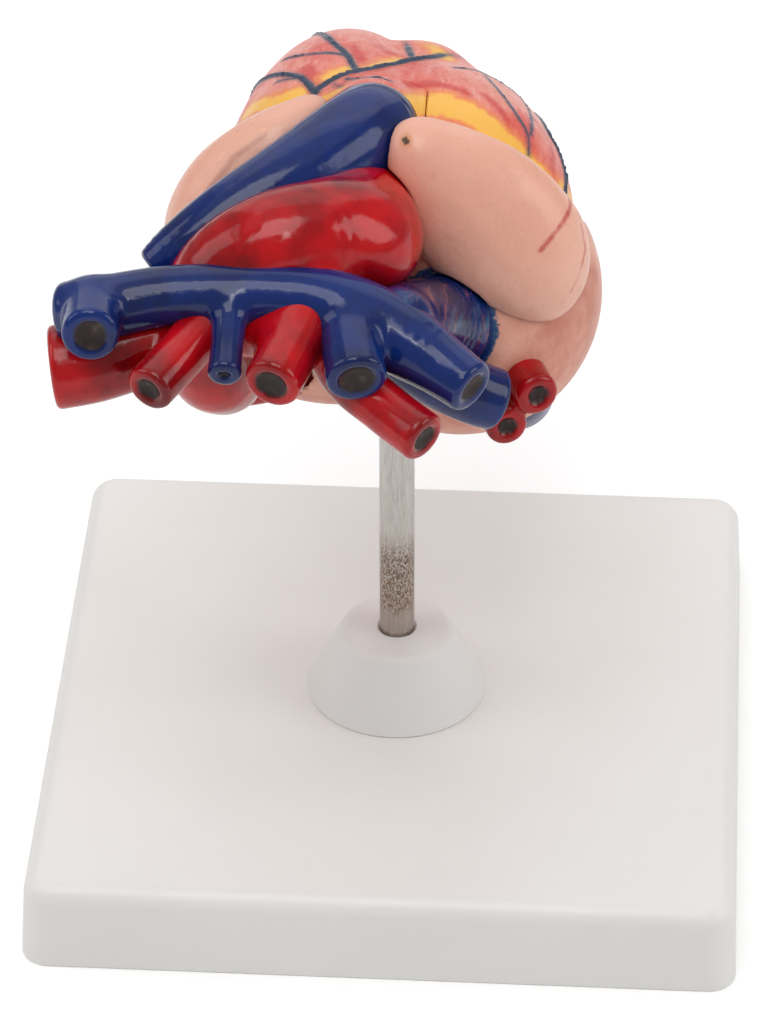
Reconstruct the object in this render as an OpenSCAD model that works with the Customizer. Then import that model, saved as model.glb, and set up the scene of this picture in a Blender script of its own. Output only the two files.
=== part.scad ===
// Human heart anatomy model on a stand, millimetres, +Z up.
// Origin: centre of the base plate's footprint, on the surface that it stands on.
// The heart has a frame of its own: x to the patient's right, y from head to apex, z to the front.

/* [Base plate] */
// Width of the square plate at its foot
plate_w = 160; // [140:1:200]
// Height of the plate
plate_h = 21.2; // [16:0.1:30]
// Draft of each side over the height
plate_draft = 0.9; // [0.2:0.1:2]
// Radius of the upright corners
plate_corner_r = 6.3; // [4.5:0.1:12]
// Radius of the top edge
plate_edge_r = 4.4; // [1:0.1:5]
// Wall of the moulded shell
plate_wall = 2.8; // [2:0.1:4]
// Thickness of the ribs below
rib_t = 2.2; // [1.6:0.1:4]

/* [Collar] */
// Radius of the collar at the plate
collar_foot_r = 20.8; // [18:0.1:30]
// Radius of the collar's cone where the top edge is rounded
collar_top_r = 13.5; // [10:0.1:17]
// Height of the collar
collar_h = 16.8; // [10:0.1:30]
// Rounding of the collar's top edge
collar_edge_r = 2.5; // [0.5:0.1:3]

/* [Rod] */
// Diameter of the steel rod
rod_d = 8; // [6:0.1:10]
// Height of the rod's top above the table
rod_top = 123; // [112:0.5:126]
// Diameter of the screw under the rod
screw_d = 4; // [3:0.1:4.5]
// Diameter of the screw's head
screw_head_d = 8; // [6.5:0.1:9]
// Diameter of the washer
washer_d = 13; // [10:0.1:15]
// Thickness of the washer
washer_t = 1.2; // [0.8:0.1:2]

/* [Heart on its rod] */
// Height of the heart's own origin above the table
heart_height = 135; // [130:0.5:145]
// Tilt of the heart's front upward, degrees
heart_tilt = 25; // [20:0.5:30]
// Outer diameter of the sleeve in the heart
sleeve_d = 13; // [12:0.1:16]
// Depth of the sleeve's bore
sleeve_depth = 24; // [15:0.5:28]
// Closed end of the sleeve above the bore
sleeve_cap = 2; // [1:0.1:4]

/* [Ventricles] */
// Half width of the left lobe
lv_half_w = 27.5; // [26:0.5:31]
// Half depth of the left lobe, front to back
lv_half_d = 36; // [34:0.5:38]
// Half width of the right lobe
rv_half_w = 33.5; // [32:0.5:36]
// Half depth of the right lobe, front to back
rv_half_d = 35; // [33:0.5:37]
// Distance of the apex below the valve plane
apex_y = 72; // [68:0.5:76]
// Height of the cut face in the heart's frame
cut_z = 12; // [10:0.5:14]
// Softness of the groove between the lobes
groove_soft = 9; // [4:0.5:14]

/* [Front wall] */
// Radius of the raised coronary veins
vein_r = 1.1; // [0.8:0.1:2]
// Diameter of a magnet
magnet_d = 5; // [4:0.1:5.5]
// Thickness of a magnet
magnet_t = 2.5; // [1.5:0.1:4]
// Diameter of a locating pin
pin_d = 3; // [2:0.1:3.5]
// Length of a locating pin above the cut face
pin_up = 5; // [3:0.5:7]

/* [Vessels] */
// Wall of a cut vessel end around its dimple
vessel_wall = 2.2; // [1.4:0.1:3]
// Depth of the dimple in a cut vessel end
dimple_depth = 2.5; // [1:0.1:4]
// Sides of the larger vessels
vessel_sides = 12; // [10:2:20]

/* [Fits] */
// Glue gap between castings of one body
glue_gap = 0.1; // [0.05:0.01:0.2]
// Gap between the front part and the rear part
part_gap = 0.3; // [0.25:0.05:0.5]
// Radial clearance of the rod in its sleeve and in the collar
rod_clearance = 0.08; // [0.04:0.01:0.1]
// Radial clearance of the pins in the front wall
pin_clearance = 0.3; // [0.2:0.05:0.4]

/* [Hidden] */

flap_gap = 1.8 * part_gap;
rod_foot = washer_t + 4;
boss_r = washer_d / 2 + plate_wall;
// Muscle that stays round the sleeve, and the way below it that the rod comes in by.
sleeve_wall_t = 3;
rod_way = 30;
base_of_ventricles = -12;
big = 400;

// Routes of the vessels in the heart's frame: [x, y, z, radius], from the heart outward.
aorta_route = [
    [-6, -3, 18, 10.5], [-7.5, -15, 17, 11.5], [-8, -30, 15.5, 12], [-14, -41, 15, 12], [-24, -45, 13, 11.5],
    [-34, -45, 7, 10.5], [-39, -41, -4, 10], [-38, -32, -15, 9.5], [-36.5, -24, -18.5, 9], [-36, -17, -20, 8.6]
];
brachiocephalic_route = [[-14, -46, 8, 7], [-17, -56, -2, 6.4], [-22, -70, -12, 6]];
right_subclavian_route = [[-15, -50, 2, 6], [-8, -57, -11, 5.6], [1, -60, -18, 5.4], [11, -62, -24, 5.2]];
left_carotid_route = [[-33, -46, 4, 6], [-40, -58, -6, 5.4], [-47.5, -70, -14, 5.2]];
left_subclavian_route = [[-36, -44, -2, 8], [-50, -50, -8.5, 8], [-60, -53, -11.5, 8.6], [-69, -54, -13, 9]];
trunk_route = [
    [-6, -2, 32.4, 11], [-6.5, -9, 32.5, 11], [-11, -17, 30.5, 10.5], [-22, -27, 24.5, 9.5],
    [-35, -33, 17.5, 8.3], [-44, -36, 12, 7.6], [-51, -37, 8, 7.2]
];
right_artery_route = [[-3, -27, -7, 7.5], [9, -25, -16, 7.2], [18, -22, -21, 7], [23, -20, -23, 6.8]];
cava_route = [[3, -51, -2, 8], [3.5, -43, -3, 8.3], [5, -32, -4, 8.7], [8, -22, -6, 9.6], [10.5, -14, -8, 11.5]];
cross_vein_route = [
    [-70, -56, 1.5, 6.6], [-60, -56, 1.5, 6.8], [-47, -55, 3, 6.4], [-33, -54, 4, 6.4], [-18, -53, 3.5, 7],
    [-7, -53, 0.5, 8], [3, -54, -4, 8], [12, -57, -9, 6.6], [19, -61, -13, 5.8]
];
left_jugular_route = [[-61, -58, 1, 6.2], [-60.5, -64, -1, 6], [-60, -70, -3, 6]];
thyroid_vein_route = [[-32, -57, 1, 4], [-32, -63, -5, 3.4], [-32, -69, -10.5, 3.6]];
right_jugular_route = [[-7, -56, -2, 6.5], [-6, -63, -6, 6.2], [-4.5, -69, -10.5, 6.4]];
lower_cava_route = [[25, 6, -20, 8.5], [26, 15, -26, 8.5], [26.5, 22, -29, 8.5]];
right_upper_vein_route = [[27, -4, -18, 5.5], [30, -11, -21, 5], [32, -15, -22.5, 4.8]];
right_lower_vein_route = [[22, -3, -26, 5.2], [24, -9, -28.5, 4.8], [25.5, -13, -30, 4.6]];
left_upper_vein_route = [[-26, -5, -12, 4.8], [-36, -3.5, -13, 4.6], [-45.5, -2.5, -14, 4.4]];
left_lower_vein_route = [[-22, -3, -22, 4.8], [-30, -2, -24.5, 4.6], [-37.5, -1, -26, 4.4]];

// Lobes of the auricles: [centre, radii].
right_auricle_lobes = [
    [[31, -9, 6.5], [11, 9, 14]], [[20.5, -15, 15], [14.5, 8, 16]],
    [[10.5, -18, 24.5], [9.5, 6.5, 11]], [[3.8, -20, 30.5], [5.2, 5, 6.3]]
];
left_auricle_lobes = [
    [[-43, -8, 5], [6.5, 8, 8]], [[-43.5, -9, 13], [7, 9, 8]], [[-39.5, -9.5, 22], [7.5, 8.5, 8]],
    [[-33, -9, 28], [7.5, 8, 7.5]], [[-25, -8, 33], [6.5, 7, 6.5]], [[-19, -6, 37], [3.5, 5, 3.4]]
];

// Chambers: [centre, radii].
left_ventricle = [[-19, 30, 14], [14, 27, 18]];
right_ventricle = [[19, 30, 13], [14.5, 23, 18]];
left_atrium = [[-21, -3, -14], [12, 10, 11]];
right_atrium = [[23, 0, -8], [13, 11, 13]];
conus = [[4, 26, 24, 13], [-1, 14, 29, 13.4], [-5, 4, 31.8, 12.7], [-6, -3.8, 32.5, 12]];
left_outflow = [[-17, 16, 15, 7.5], [-10, 5, 16.5, 7.5], [-6.4, -5, 18, 7.5]];
right_outflow = [[17, 20, 20, 8], [6, 12, 28, 8], [-4, 4, 31.5, 7.8], [-6.2, -5, 32.5, 7.6]];
atria_bulbs = [[[14, 9, -4], [31, 25.5, 32]], [[-14, 5, -8], [28, 20, 21.5]]];

septum_t = 8;
mitral_r = 8;
tricuspid_r = 9;
valve_share = 0.32;
leaflet_length = 8;
// Middle of each pocket valve's ring, in the roots of the great vessels.
aortic_seat = [-7.55, -1, 17.4];
pulmonary_seat = [-5.45, -1, 32.15];
valve_slack = 0.8;
// Papillary muscles: [foot, tip, ends of the cords].
left_papillaries = [
    [[-29, 30, 2], [-25.5, 22, 5], [[-24, 14.5, 2.5], [-22.5, 14.5, 4], [-21, 15.5, 4.5]]],
    [[-12, 31, -1], [-15, 22.5, 4], [[-16.5, 14.5, 2], [-17.5, 14.5, 3.5], [-19, 15.5, 4]]]
];
right_papillaries = [
    [[29.5, 32, 1], [26, 25, 3.5], [[25, 19, 2.5], [23.5, 19, 4], [24.5, 18, 5.5]]],
    [[16, 34, -3], [18.5, 26.5, 1], [[17.5, 19, 2], [19, 19, 3.5], [20.5, 20, 1.5]]]
];
papillary_r = 3.2;
cord_r = 0.7;
// Corner of the notch that leaves the great vessels' roots on the rear part.
root_x = 5.5;
root_y = 2;

// Magnets and pins on the cut face: [x, y].
magnet_spots = [[-36.8, 24], [31, 7], [-13, 63.5]];
pin_spots = [[-0.5, 22], [-0.5, 40]];

// ---- helpers ----

function unit(v) = v / norm(v);
function place(p) = [p[0], p[1], p[2]];
function blend(a, b, t) = a + (b - a) * t;
function soft_max(a, b, k) = let (h = max(k - abs(a - b), 0) / k) max(a, b) + h * h * k / 4;

// A smooth curve through stations, steps to a span.
function curve_at(a, b, c, d, t) =
    (2 * b + (c - a) * t + (2 * a - 5 * b + 4 * c - d) * t * t + (3 * b - a - 3 * c + d) * t * t * t) / 2;
function curve(s, steps) = let (e = len(s) - 1) [
    for (i = [0:e - 1]) for (j = [0:steps - 1])
        curve_at(s[max(i - 1, 0)], s[i], s[i + 1], s[min(i + 2, e)], j / steps),
    s[e]
];

function heading(q, i) = unit(place(q[min(i + 1, len(q) - 1)]) - place(q[max(i - 1, 0)]));
function square_to(v, d) = unit(v - d * (v * d));
// One side vector per station, carried along so that the tube doesn't twist.
function sides(q, i = 0, v = [0, 0, 1], out = []) =
    i == len(q) ? out : let (u = square_to(v, heading(q, i))) sides(q, i + 1, u, concat(out, [u]));

// A closed skin over m rings of n points each, all turning clockwise seen against their heading.
module skin(points, n) {
    m = len(points) / n;
    polyhedron(points, concat(
        [[for (k = [0:n - 1]) k]],
        [for (i = [0:m - 2]) for (k = [0:n - 1]) let (a = i * n + k, b = i * n + (k + 1) % n) [a, a + n, b + n]],
        [for (i = [0:m - 2]) for (k = [0:n - 1]) let (a = i * n + k, b = i * n + (k + 1) % n) [a, b + n, b]],
        [[for (k = [n - 1:-1:0]) (m - 1) * n + k]]
    ), convexity = 6);
}

// A round tube along stations [x, y, z, radius], from ring number span[0] up to span[1].
module tube(q, n = vessel_sides, grow = 0, span = [0, 99]) {
    u = sides(q);
    skin([
        for (i = [span[0]:min(span[1], len(q) - 1)])
            let (d = heading(q, i), w = cross(d, u[i]), r = q[i][3] + grow)
            for (k = [0:n - 1]) place(q[i]) + r * (cos(360 * k / n) * u[i] + sin(360 * k / n) * w)
    ], n);
}

// The last stations of a route, rounded over to a rim.
function rim(q) = let (e = q[len(q) - 1], d = heading(q, len(q) - 1)) concat(q, [
    [e[0] + d[0] * 0.8, e[1] + d[1] * 0.8, e[2] + d[2] * 0.8, e[3] * 0.9]
]);

// A vessel along a route with a rounded, dimpled cut end.
module vessel(route, steps = 2, n = vessel_sides, grow = 0, span = [0, 99]) {
    tube(rim(curve(route, steps)), n, grow, span);
}
module dimple(route, steps = 2, n = 8) {
    q = curve(route, steps);
    e = q[len(q) - 1];
    d = heading(q, len(q) - 1);
    r = e[3] - vessel_wall;
    tube([
        concat(place(e) + d * (0.8 - dimple_depth), [r * 0.7]),
        concat(place(e) + d * (1.6 - dimple_depth), [r * 0.9]),
        concat(place(e) + d * 2, [r])
    ], n);
}

// An ellipsoid given as [centre, radii].
module bulb(b, n = 24, grow = 0) {
    translate(b[0]) scale([b[1][0] + grow, b[1][1] + grow, b[1][2] + grow]) sphere(r = 1, $fn = n);
}
// A chain of lobes, each blended into the next.
module lobes(list, n, steps) {
    chain = curve(list, steps);
    for (i = [0:len(chain) - 2]) hull() {
        bulb(chain[i], n);
        bulb(chain[i + 1], n);
    }
}
// A fleshy strand from a to b.
module strand(a, b, ra, rb, n = 6) {
    hull() {
        translate(a) sphere(r = ra, $fn = n);
        translate(b) sphere(r = rb, $fn = n);
    }
}
module in_heart() {
    translate([0, 0, heart_height]) rotate([-heart_tilt, 0, 0]) children();
}
module on_axis(from, to) {
    d = to - from;
    translate(from) rotate([0, acos(d[2] / norm(d)), atan2(d[1], d[0])]) children();
}

// ---- ventricles ----

// Distance from the pole to an ellipse with centre c and half axes a and b, along dir.
function reach(c, a, b, dir) = let (
    u = [dir[0] / a, dir[1] / b], v = [c[0] / a, c[1] / b],
    square = u * u, along = u * v, rest = along * along - square * (v * v - 1)
) rest < 0 ? 0 : (along + sqrt(rest)) / square;
// Share of the full section at y, with the widest place at mid and round ends at top and end.
function swell(y, top, mid, end) = y < mid
    ? pow(max(1 - pow((mid - y) / (mid - top), 2.6), 0.001), 0.45)
    : sqrt(max(1 - pow((y - mid) / (end - mid), 2), 0.0004));

function lobe_section(y, grow, dir) = let (
    t = max(y, 0) / apex_y,
    pole = blend([-14.5, 6], [-14, 27], t),
    left = swell(y, base_of_ventricles - 2, 15, apex_y + grow),
    right = swell(y, base_of_ventricles - 2, 13, apex_y - 8 + grow),
    mid = blend([6.5, 7.5], [1, 19], t) - pole,
    r = soft_max(
        reach([0, 0], lv_half_w * left, lv_half_d * left, dir),
        reach(mid, rv_half_w * right, rv_half_d * right, dir), groove_soft * left
    ) + grow
) [pole[0] + r * dir[0], y, pole[1] + r * dir[1]];

module ventricles(grow = 0, n = 26, m = 10) {
    first = base_of_ventricles - grow;
    last = apex_y + grow;
    skin([
        for (i = [0:m]) let (y = blend(first, last - 0.02, (1 - cos(180 * i / m)) / 2))
            for (k = [0:n - 1]) lobe_section(y, grow, [cos(360 * k / n), -sin(360 * k / n)])
    ], n);
}
module atria(grow = 0) {
    for (b = atria_bulbs) bulb(b, 18, grow);
}
// The atria up to the cut face; the front part and the right auricle lie above it.
module rear_atria(grow = 0) {
    difference() {
        atria(grow);
        translate([-big / 2, -big / 2, cut_z + grow]) cube(big);
    }
}
// Both ventricles and the outflow cone under the pulmonary trunk.
module heart_mass(grow = 0) {
    ventricles(grow);
    tube(curve(conus, 2), vessel_sides, grow);
}
// Space of the front part: in front of the cut face, and clear of the great vessels' roots.
module front_space(gap = 0) {
    difference() {
        translate([-big / 2, -big / 2, cut_z + gap]) cube([big, big, big]);
        translate([-big, -big, -big / 2]) cube([big + root_x + gap, big + root_y + gap, big]);
    }
}
module valve_way(from, to, r) {
    tube([concat(from, [r]), concat(to, [r])], 12);
}
// The outflows' last stretch, which is also the bore of the great vessels' roots.
module left_bore() {
    tube(curve(left_outflow, 2), 10, span = [2, 4]);
}
module right_bore() {
    tube(curve(right_outflow, 2), 10, span = [4, 6]);
}
module chambers() {
    bulb(left_ventricle, 18);
    difference() {
        bulb(right_ventricle, 18);
        bulb(left_ventricle, 18, septum_t);
    }
    bulb(left_atrium, 12);
    bulb(right_atrium, 12);
    valve_way(left_atrium[0], left_ventricle[0], mitral_r);
    valve_way(right_atrium[0], right_ventricle[0], tricuspid_r);
    tube(curve(left_outflow, 2), 10);
    tube(curve(right_outflow, 2), 10);
}
// A point on a chamber's wall, in direction u from its centre.
function wall(b, u) = let (d = unit(u)) b[0] + [b[1][0] * d[0], b[1][1] * d[1], b[1][2] * d[2]];
// Bands of muscle that stand on a chamber's wall, one behind the other toward the apex.
module bands(b, side, front) {
    for (i = [1:4])
        strand(wall(b, [side, 0.4 * i - 0.2, 0.35 * front]), wall(b, [-0.1 * side, 0.4 * i, 0.9 * front]), 1.5, 1.3);
}
module rear_bands() {
    bands(left_ventricle, -1, -1);
    bands(right_ventricle, 1, -1);
}
module front_bands() {
    bands(left_ventricle, -1, 1);
    bands(right_ventricle, 1, 1);
}
module vessel_roots(grow = glue_gap) {
    vessel(aorta_route, grow = grow);
    vessel(trunk_route, grow = grow);
    vessel(cava_route, grow = grow);
}
module vein_roots(grow = glue_gap) {
    vessel(lower_cava_route, n = 10, grow = grow);
    vessel(right_upper_vein_route, n = 8, grow = grow);
    vessel(right_lower_vein_route, n = 8, grow = grow);
    vessel(left_upper_vein_route, n = 8, grow = grow);
    vessel(left_lower_vein_route, n = 8, grow = grow);
    vessel(right_artery_route, n = 10, grow = grow);
}

// ---- the stand ----

module plate_blank(w, h, corner, edge, n) {
    inset = w / 2 - corner;
    hull() for (x = [-1, 1], y = [-1, 1]) {
        translate([x * inset, y * inset, 0]) cylinder(r = corner, h = 0.01, $fn = n);
        translate([x * (inset - plate_draft), y * (inset - plate_draft), h - edge])
            rotate_extrude($fn = n) {
                square([max(corner - edge, 0.01), edge]);
                translate([max(corner - edge, 0.01), 0]) intersection() {
                    circle(r = edge, $fn = n);
                    square(edge);
                }
            }
    }
}

module base_plate() color("white") difference() {
    union() {
        difference() {
            plate_blank(plate_w, plate_h, plate_corner_r, plate_edge_r, 24);
            translate([0, 0, -0.01])
                plate_blank(plate_w - 2 * plate_wall, plate_h - plate_wall, plate_corner_r - 1.5, 1.5, 12);
        }
        for (a = [0, 90]) rotate(a)
            translate([-plate_w / 2 + plate_wall, -rib_t / 2, 0.5])
                cube([plate_w - 2 * plate_wall, rib_t, plate_h - plate_wall - 0.4]);
        cylinder(r = boss_r, h = plate_h - 0.5, $fn = 64);
    }
    translate([0, 0, rod_foot]) cylinder(r = rod_d / 2 + rod_clearance, h = plate_h, $fn = 64);
    translate([0, 0, -1]) cylinder(r = screw_d / 2 + 0.2, h = plate_h, $fn = 48);
    translate([0, 0, -1]) cylinder(r = washer_d / 2 + 0.3, h = 1 + rod_foot - 1.5, $fn = 64);
}

module collar() color("white") translate([0, 0, plate_h]) difference() {
    rotate_extrude($fn = 96) collar_profile();
    translate([0, 0, -1]) cylinder(r = rod_d / 2 + rod_clearance, h = collar_h + 2, $fn = 64);
}
module collar_profile() {
    top = collar_top_r - collar_edge_r;
    union() {
        polygon([[0, 0], [collar_foot_r, 0], [collar_top_r, collar_h - collar_edge_r], [0, collar_h - collar_edge_r]]);
        square([top, collar_h]);
        translate([top, collar_h - collar_edge_r]) intersection() {
            circle(r = collar_edge_r, $fn = 48);
            square(collar_edge_r);
        }
    }
}

module rod() color("silver") difference() {
    translate([0, 0, rod_foot]) rotate_extrude($fn = 64)
        polygon([
            [0, 0], [rod_d / 2, 0], [rod_d / 2, rod_top - rod_foot - 0.6],
            [rod_d / 2 - 0.6, rod_top - rod_foot], [0, rod_top - rod_foot]
        ]);
    translate([0, 0, rod_foot - 1]) cylinder(r = screw_d / 2, h = 13, $fn = 48);
}
module rod_washer() color("silver") translate([0, 0, rod_foot - 1.5 - washer_t - 0.02]) difference() {
    cylinder(d = washer_d, h = washer_t, $fn = 64);
    translate([0, 0, -1]) cylinder(d = screw_d + 0.4, h = washer_t + 2, $fn = 48);
}
module rod_screw() color("dimgray") {
    head = rod_foot - 1.5 - washer_t - 0.04;
    difference() {
        translate([0, 0, head - 2.2]) cylinder(d = screw_head_d, h = 2.2, $fn = 48);
        translate([0, 0, head - 3.4]) cylinder(d = 3, h = 2.2, $fn = 6);
    }
    translate([0, 0, head]) cylinder(d = screw_d - 0.1, h = 12, $fn = 48);
}

// ---- the heart's rear part ----

module rod_sleeve() color("lightgray") translate([0, 0, rod_top - sleeve_depth]) difference() {
    cylinder(d = sleeve_d, h = sleeve_depth + sleeve_cap, $fn = 64);
    translate([0, 0, -1]) cylinder(r = rod_d / 2 + rod_clearance, h = sleeve_depth + 1, $fn = 64);
}
// The pocket that the sleeve is glued into, open below, with flat sides.
module sleeve_pocket() {
    translate([0, 0, rod_top - sleeve_depth - rod_way])
        cylinder(r = (sleeve_d / 2 + glue_gap) / cos(15), h = rod_way + sleeve_depth + sleeve_cap + glue_gap, $fn = 12);
}

module rear_heart() color("lightsalmon") difference() {
    in_heart() difference() {
        union() {
            difference() {
                heart_mass();
                front_space();
            }
            rear_atria();
        }
        difference() {
            chambers();
            rear_bands();
            on_sleeve_wall();
        }
        vessel_roots();
        vein_roots();
        pockets(magnet_spots, magnet_d, magnet_t);
        pockets(pin_spots, pin_d, pin_up);
    }
    sleeve_pocket();
}
// Flat-sided pockets that go down from the cut face.
module pockets(spots, d, depth) {
    for (p = spots) translate([p[0], p[1], cut_z - depth - glue_gap])
        cylinder(d = d + 2 * glue_gap, h = depth + 1, $fn = 12);
}
// The wall that stays round the sleeve where a chamber comes near.
module on_sleeve_wall() {
    rotate([heart_tilt, 0, 0]) translate([0, 0, rod_top - sleeve_depth - heart_height - rod_way])
        cylinder(r = sleeve_d / 2 + sleeve_wall_t, h = rod_way + sleeve_depth + sleeve_cap + sleeve_wall_t, $fn = 12);
}
module rear_magnets() color("dimgray") in_heart()
    for (p = magnet_spots) translate([p[0], p[1], cut_z - magnet_t]) cylinder(d = magnet_d, h = magnet_t, $fn = 12);
module locating_pins() color("gray") in_heart()
    for (p = pin_spots) translate([p[0], p[1], cut_z - pin_up]) cylinder(d = pin_d, h = 2 * pin_up, $fn = 12);

module aorta() color("crimson") in_heart() difference() {
    union() {
        vessel(aorta_route);
        vessel(brachiocephalic_route, n = 10);
        vessel(right_subclavian_route, n = 10);
        vessel(left_carotid_route, n = 10);
        vessel(left_subclavian_route, n = 10);
    }
    dimple(aorta_route);
    dimple(brachiocephalic_route);
    dimple(right_subclavian_route);
    dimple(left_carotid_route);
    left_bore();
    vessel(trunk_route, grow = glue_gap);
    vein_casting(glue_gap);
}
module pulmonary_trunk() color("royalblue") in_heart() difference() {
    vessel(trunk_route);
    dimple(trunk_route);
    right_bore();
}
module right_pulmonary_artery() color("royalblue") in_heart() difference() {
    vessel(right_artery_route, n = 10);
    dimple(right_artery_route);
    vessel(cava_route, grow = glue_gap, span = [2, 99]);
}
module vein_casting(grow = 0) {
    vessel(cross_vein_route, n = 10, grow = grow);
    vessel(left_jugular_route, n = 10, grow = grow);
    vessel(thyroid_vein_route, n = 8, grow = grow);
    vessel(right_jugular_route, n = 10, grow = grow);
}
module superior_vena_cava() color("slateblue") in_heart() difference() {
    vessel(cava_route);
    vessel(cross_vein_route, n = 10, grow = glue_gap, span = [9, 99]);
    vessel(right_jugular_route, n = 10, grow = glue_gap);
    vessel(aorta_route, grow = glue_gap, span = [2, 8]);
}
module brachiocephalic_veins() color("royalblue") in_heart() difference() {
    vein_casting();
    dimple(left_jugular_route);
    dimple(thyroid_vein_route);
    dimple(right_jugular_route);
    dimple(cross_vein_route);
}
module inferior_vena_cava() color("royalblue") in_heart() difference() {
    vessel(lower_cava_route, n = 10);
    dimple(lower_cava_route);
}
module right_pulmonary_veins() color("crimson") in_heart() difference() {
    union() {
        vessel(right_upper_vein_route, n = 8);
        vessel(right_lower_vein_route, n = 8);
    }
    dimple(right_upper_vein_route);
    dimple(right_lower_vein_route);
}
module left_pulmonary_veins() color("crimson") in_heart() difference() {
    union() {
        vessel(left_upper_vein_route, n = 8);
        vessel(left_lower_vein_route, n = 8);
    }
    dimple(left_upper_vein_route);
    dimple(left_lower_vein_route);
    vessel(aorta_route, grow = glue_gap, span = [12, 99]);
}
module left_auricle() color("lightsalmon") in_heart() difference() {
    lobes(left_auricle_lobes, 12, 2);
    heart_mass(glue_gap);
    rear_atria(glue_gap);
    vessel(trunk_route, grow = glue_gap);
    vessel(aorta_route, grow = glue_gap);
    vessel(left_upper_vein_route, n = 8, grow = glue_gap);
}

// ---- valves and what holds them ----

module valve_ring(r, h) {
    difference() {
        cylinder(r = r, h = h, center = true, $fn = 12);
        cylinder(r = r - 1.6, h = h + 1, center = true, $fn = 12);
    }
}
// A leaflet hangs from the ring and narrows to its free edge.
module leaflet(r, turn, angle) {
    rotate(turn) rotate_extrude(angle = angle, $fn = 12)
        polygon([
            [r - 1.9, -0.6], [r - 1, -0.6], [r - 1, 0.6], [r * 0.45 + 0.8, leaflet_length], [r * 0.45, leaflet_length]
        ]);
}
module leaflet_valve(from, to, way_r, angles) {
    at = blend(from, to, valve_share);
    r = way_r * cos(15) - glue_gap;
    on_axis(at, to) {
        valve_ring(r, 1.6);
        for (a = angles) leaflet(r, a[0], a[1]);
    }
}
module mitral_valve() color("ivory") in_heart()
    leaflet_valve(left_atrium[0], left_ventricle[0], mitral_r, [[8, 150], [188, 150]]);
module tricuspid_valve() color("ivory") in_heart()
    leaflet_valve(right_atrium[0], right_ventricle[0], tricuspid_r, [[8, 90], [128, 90], [248, 90]]);
// Three pockets in a ring, closed toward the chamber. They stay behind the front part, which lifts past them.
module pocket_valve(seat, way_r) {
    r = way_r * cos(18) - valve_slack;
    translate(seat) rotate([90, 0, 0]) difference() {
        union() {
            valve_ring(r, 1.6);
            for (a = [0, 120, 240]) rotate(a)
                translate([r * 0.45, 0, -0.4]) scale([1, 1.2, 0.7]) sphere(r = r * 0.48, $fn = 8);
        }
        for (a = [0, 120, 240]) rotate(a)
            translate([r * 0.48, 0, 1.2]) scale([1, 1.2, 0.8]) sphere(r = r * 0.4, $fn = 8);
    }
}
module aortic_valve() color("ivory") in_heart() pocket_valve(aortic_seat, left_outflow[2][3]);
module pulmonary_valve() color("ivory") in_heart() pocket_valve(pulmonary_seat, right_outflow[3][3]);

// A papillary muscle with its cords, cut to the chamber that it stands in.
module papillary(m) {
    strand(m[0], m[1], papillary_r, papillary_r * 0.6, 5);
    for (e = m[2]) strand(m[1], e, cord_r, cord_r * 0.7, 4);
}
module left_papillary_muscles() color("indianred") in_heart() intersection() {
    bulb(left_ventricle, 18, -glue_gap);
    for (m = left_papillaries) papillary(m);
}
module right_papillary_muscles() color("indianred") in_heart() intersection() {
    bulb(right_ventricle, 18, -glue_gap);
    for (m = right_papillaries) papillary(m);
}

// ---- the heart's front part ----

// Coronary veins that stand up from the wall: stations [y, angle round the ventricles], 90 facing the front.
coronary_routes = [
    [[1, 97], [6, 87], [15, 71], [28, 55], [42, 42], [56, 35]],
    [[6, 87], [20, 99], [36, 107]],
    [[15, 71], [26, 78], [38, 84]],
    [[2, 96], [8, 116], [16, 134]],
    [[26, 50], [13, 38], [4, 27]],
    [[30, 30], [18, 20], [8, 12]]
];
function on_skin(s) = lobe_section(s[0], 0, [cos(s[1]), sin(s[1])]);
module coronary_veins() {
    for (route = coronary_routes) tube([for (s = curve(route, 2)) concat(on_skin(s), [vein_r])], 5);
}

module front_wall() color("tomato") in_heart() difference() {
    intersection() {
        union() {
            heart_mass();
            coronary_veins();
        }
        front_space(part_gap);
    }
    difference() {
        chambers();
        front_bands();
    }
    vessel_roots(part_gap);
    for (p = magnet_spots) translate([p[0], p[1], cut_z + part_gap - 1])
        cylinder(d = magnet_d + 2 * glue_gap, h = magnet_t + glue_gap + 1, $fn = 12);
    for (p = pin_spots) translate([p[0], p[1], cut_z + part_gap - 1])
        cylinder(r = pin_d / 2 + pin_clearance, h = pin_up + part_gap + 1, $fn = 12);
}
module front_magnets() color("dimgray") in_heart()
    for (p = magnet_spots) translate([p[0], p[1], cut_z + part_gap]) cylinder(d = magnet_d, h = magnet_t, $fn = 12);
// The trunk's root and the space that it leaves as the flap is lifted past it.
module under_trunk() {
    q = curve(trunk_route, 2);
    for (i = [0:4]) hull() for (z = [0, -trunk_route[0][3]])
        translate([0, 0, z]) tube(q, grow = part_gap, span = [i, i + 1]);
}
module right_auricle() color("lightsalmon") in_heart() difference() {
    lobes(right_auricle_lobes, 16, 3);
    under_trunk();
    heart_mass(glue_gap);
    difference() {
        heart_mass(part_gap);
        front_space(part_gap);
    }
    rear_atria(flap_gap);
    vessel_roots(flap_gap);
}

base_plate();
collar();
rod();
rod_screw();
rod_washer();
rear_heart();
rod_sleeve();
aorta();
pulmonary_trunk();
right_pulmonary_artery();
superior_vena_cava();
brachiocephalic_veins();
inferior_vena_cava();
right_pulmonary_veins();
left_pulmonary_veins();
left_auricle();
mitral_valve();
tricuspid_valve();
aortic_valve();
pulmonary_valve();
left_papillary_muscles();
right_papillary_muscles();
locating_pins();
rear_magnets();
front_wall();
right_auricle();
front_magnets();
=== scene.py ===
"""Looks of the heart anatomy model.

Lengths are millimetres in the heart's own frame (x to the heart's right, y from head to apex, z to the front)
until they are turned into the row frame in metres."""
import itertools
import math
import bpy
import numpy as np
from mathutils import Matrix, Vector


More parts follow.
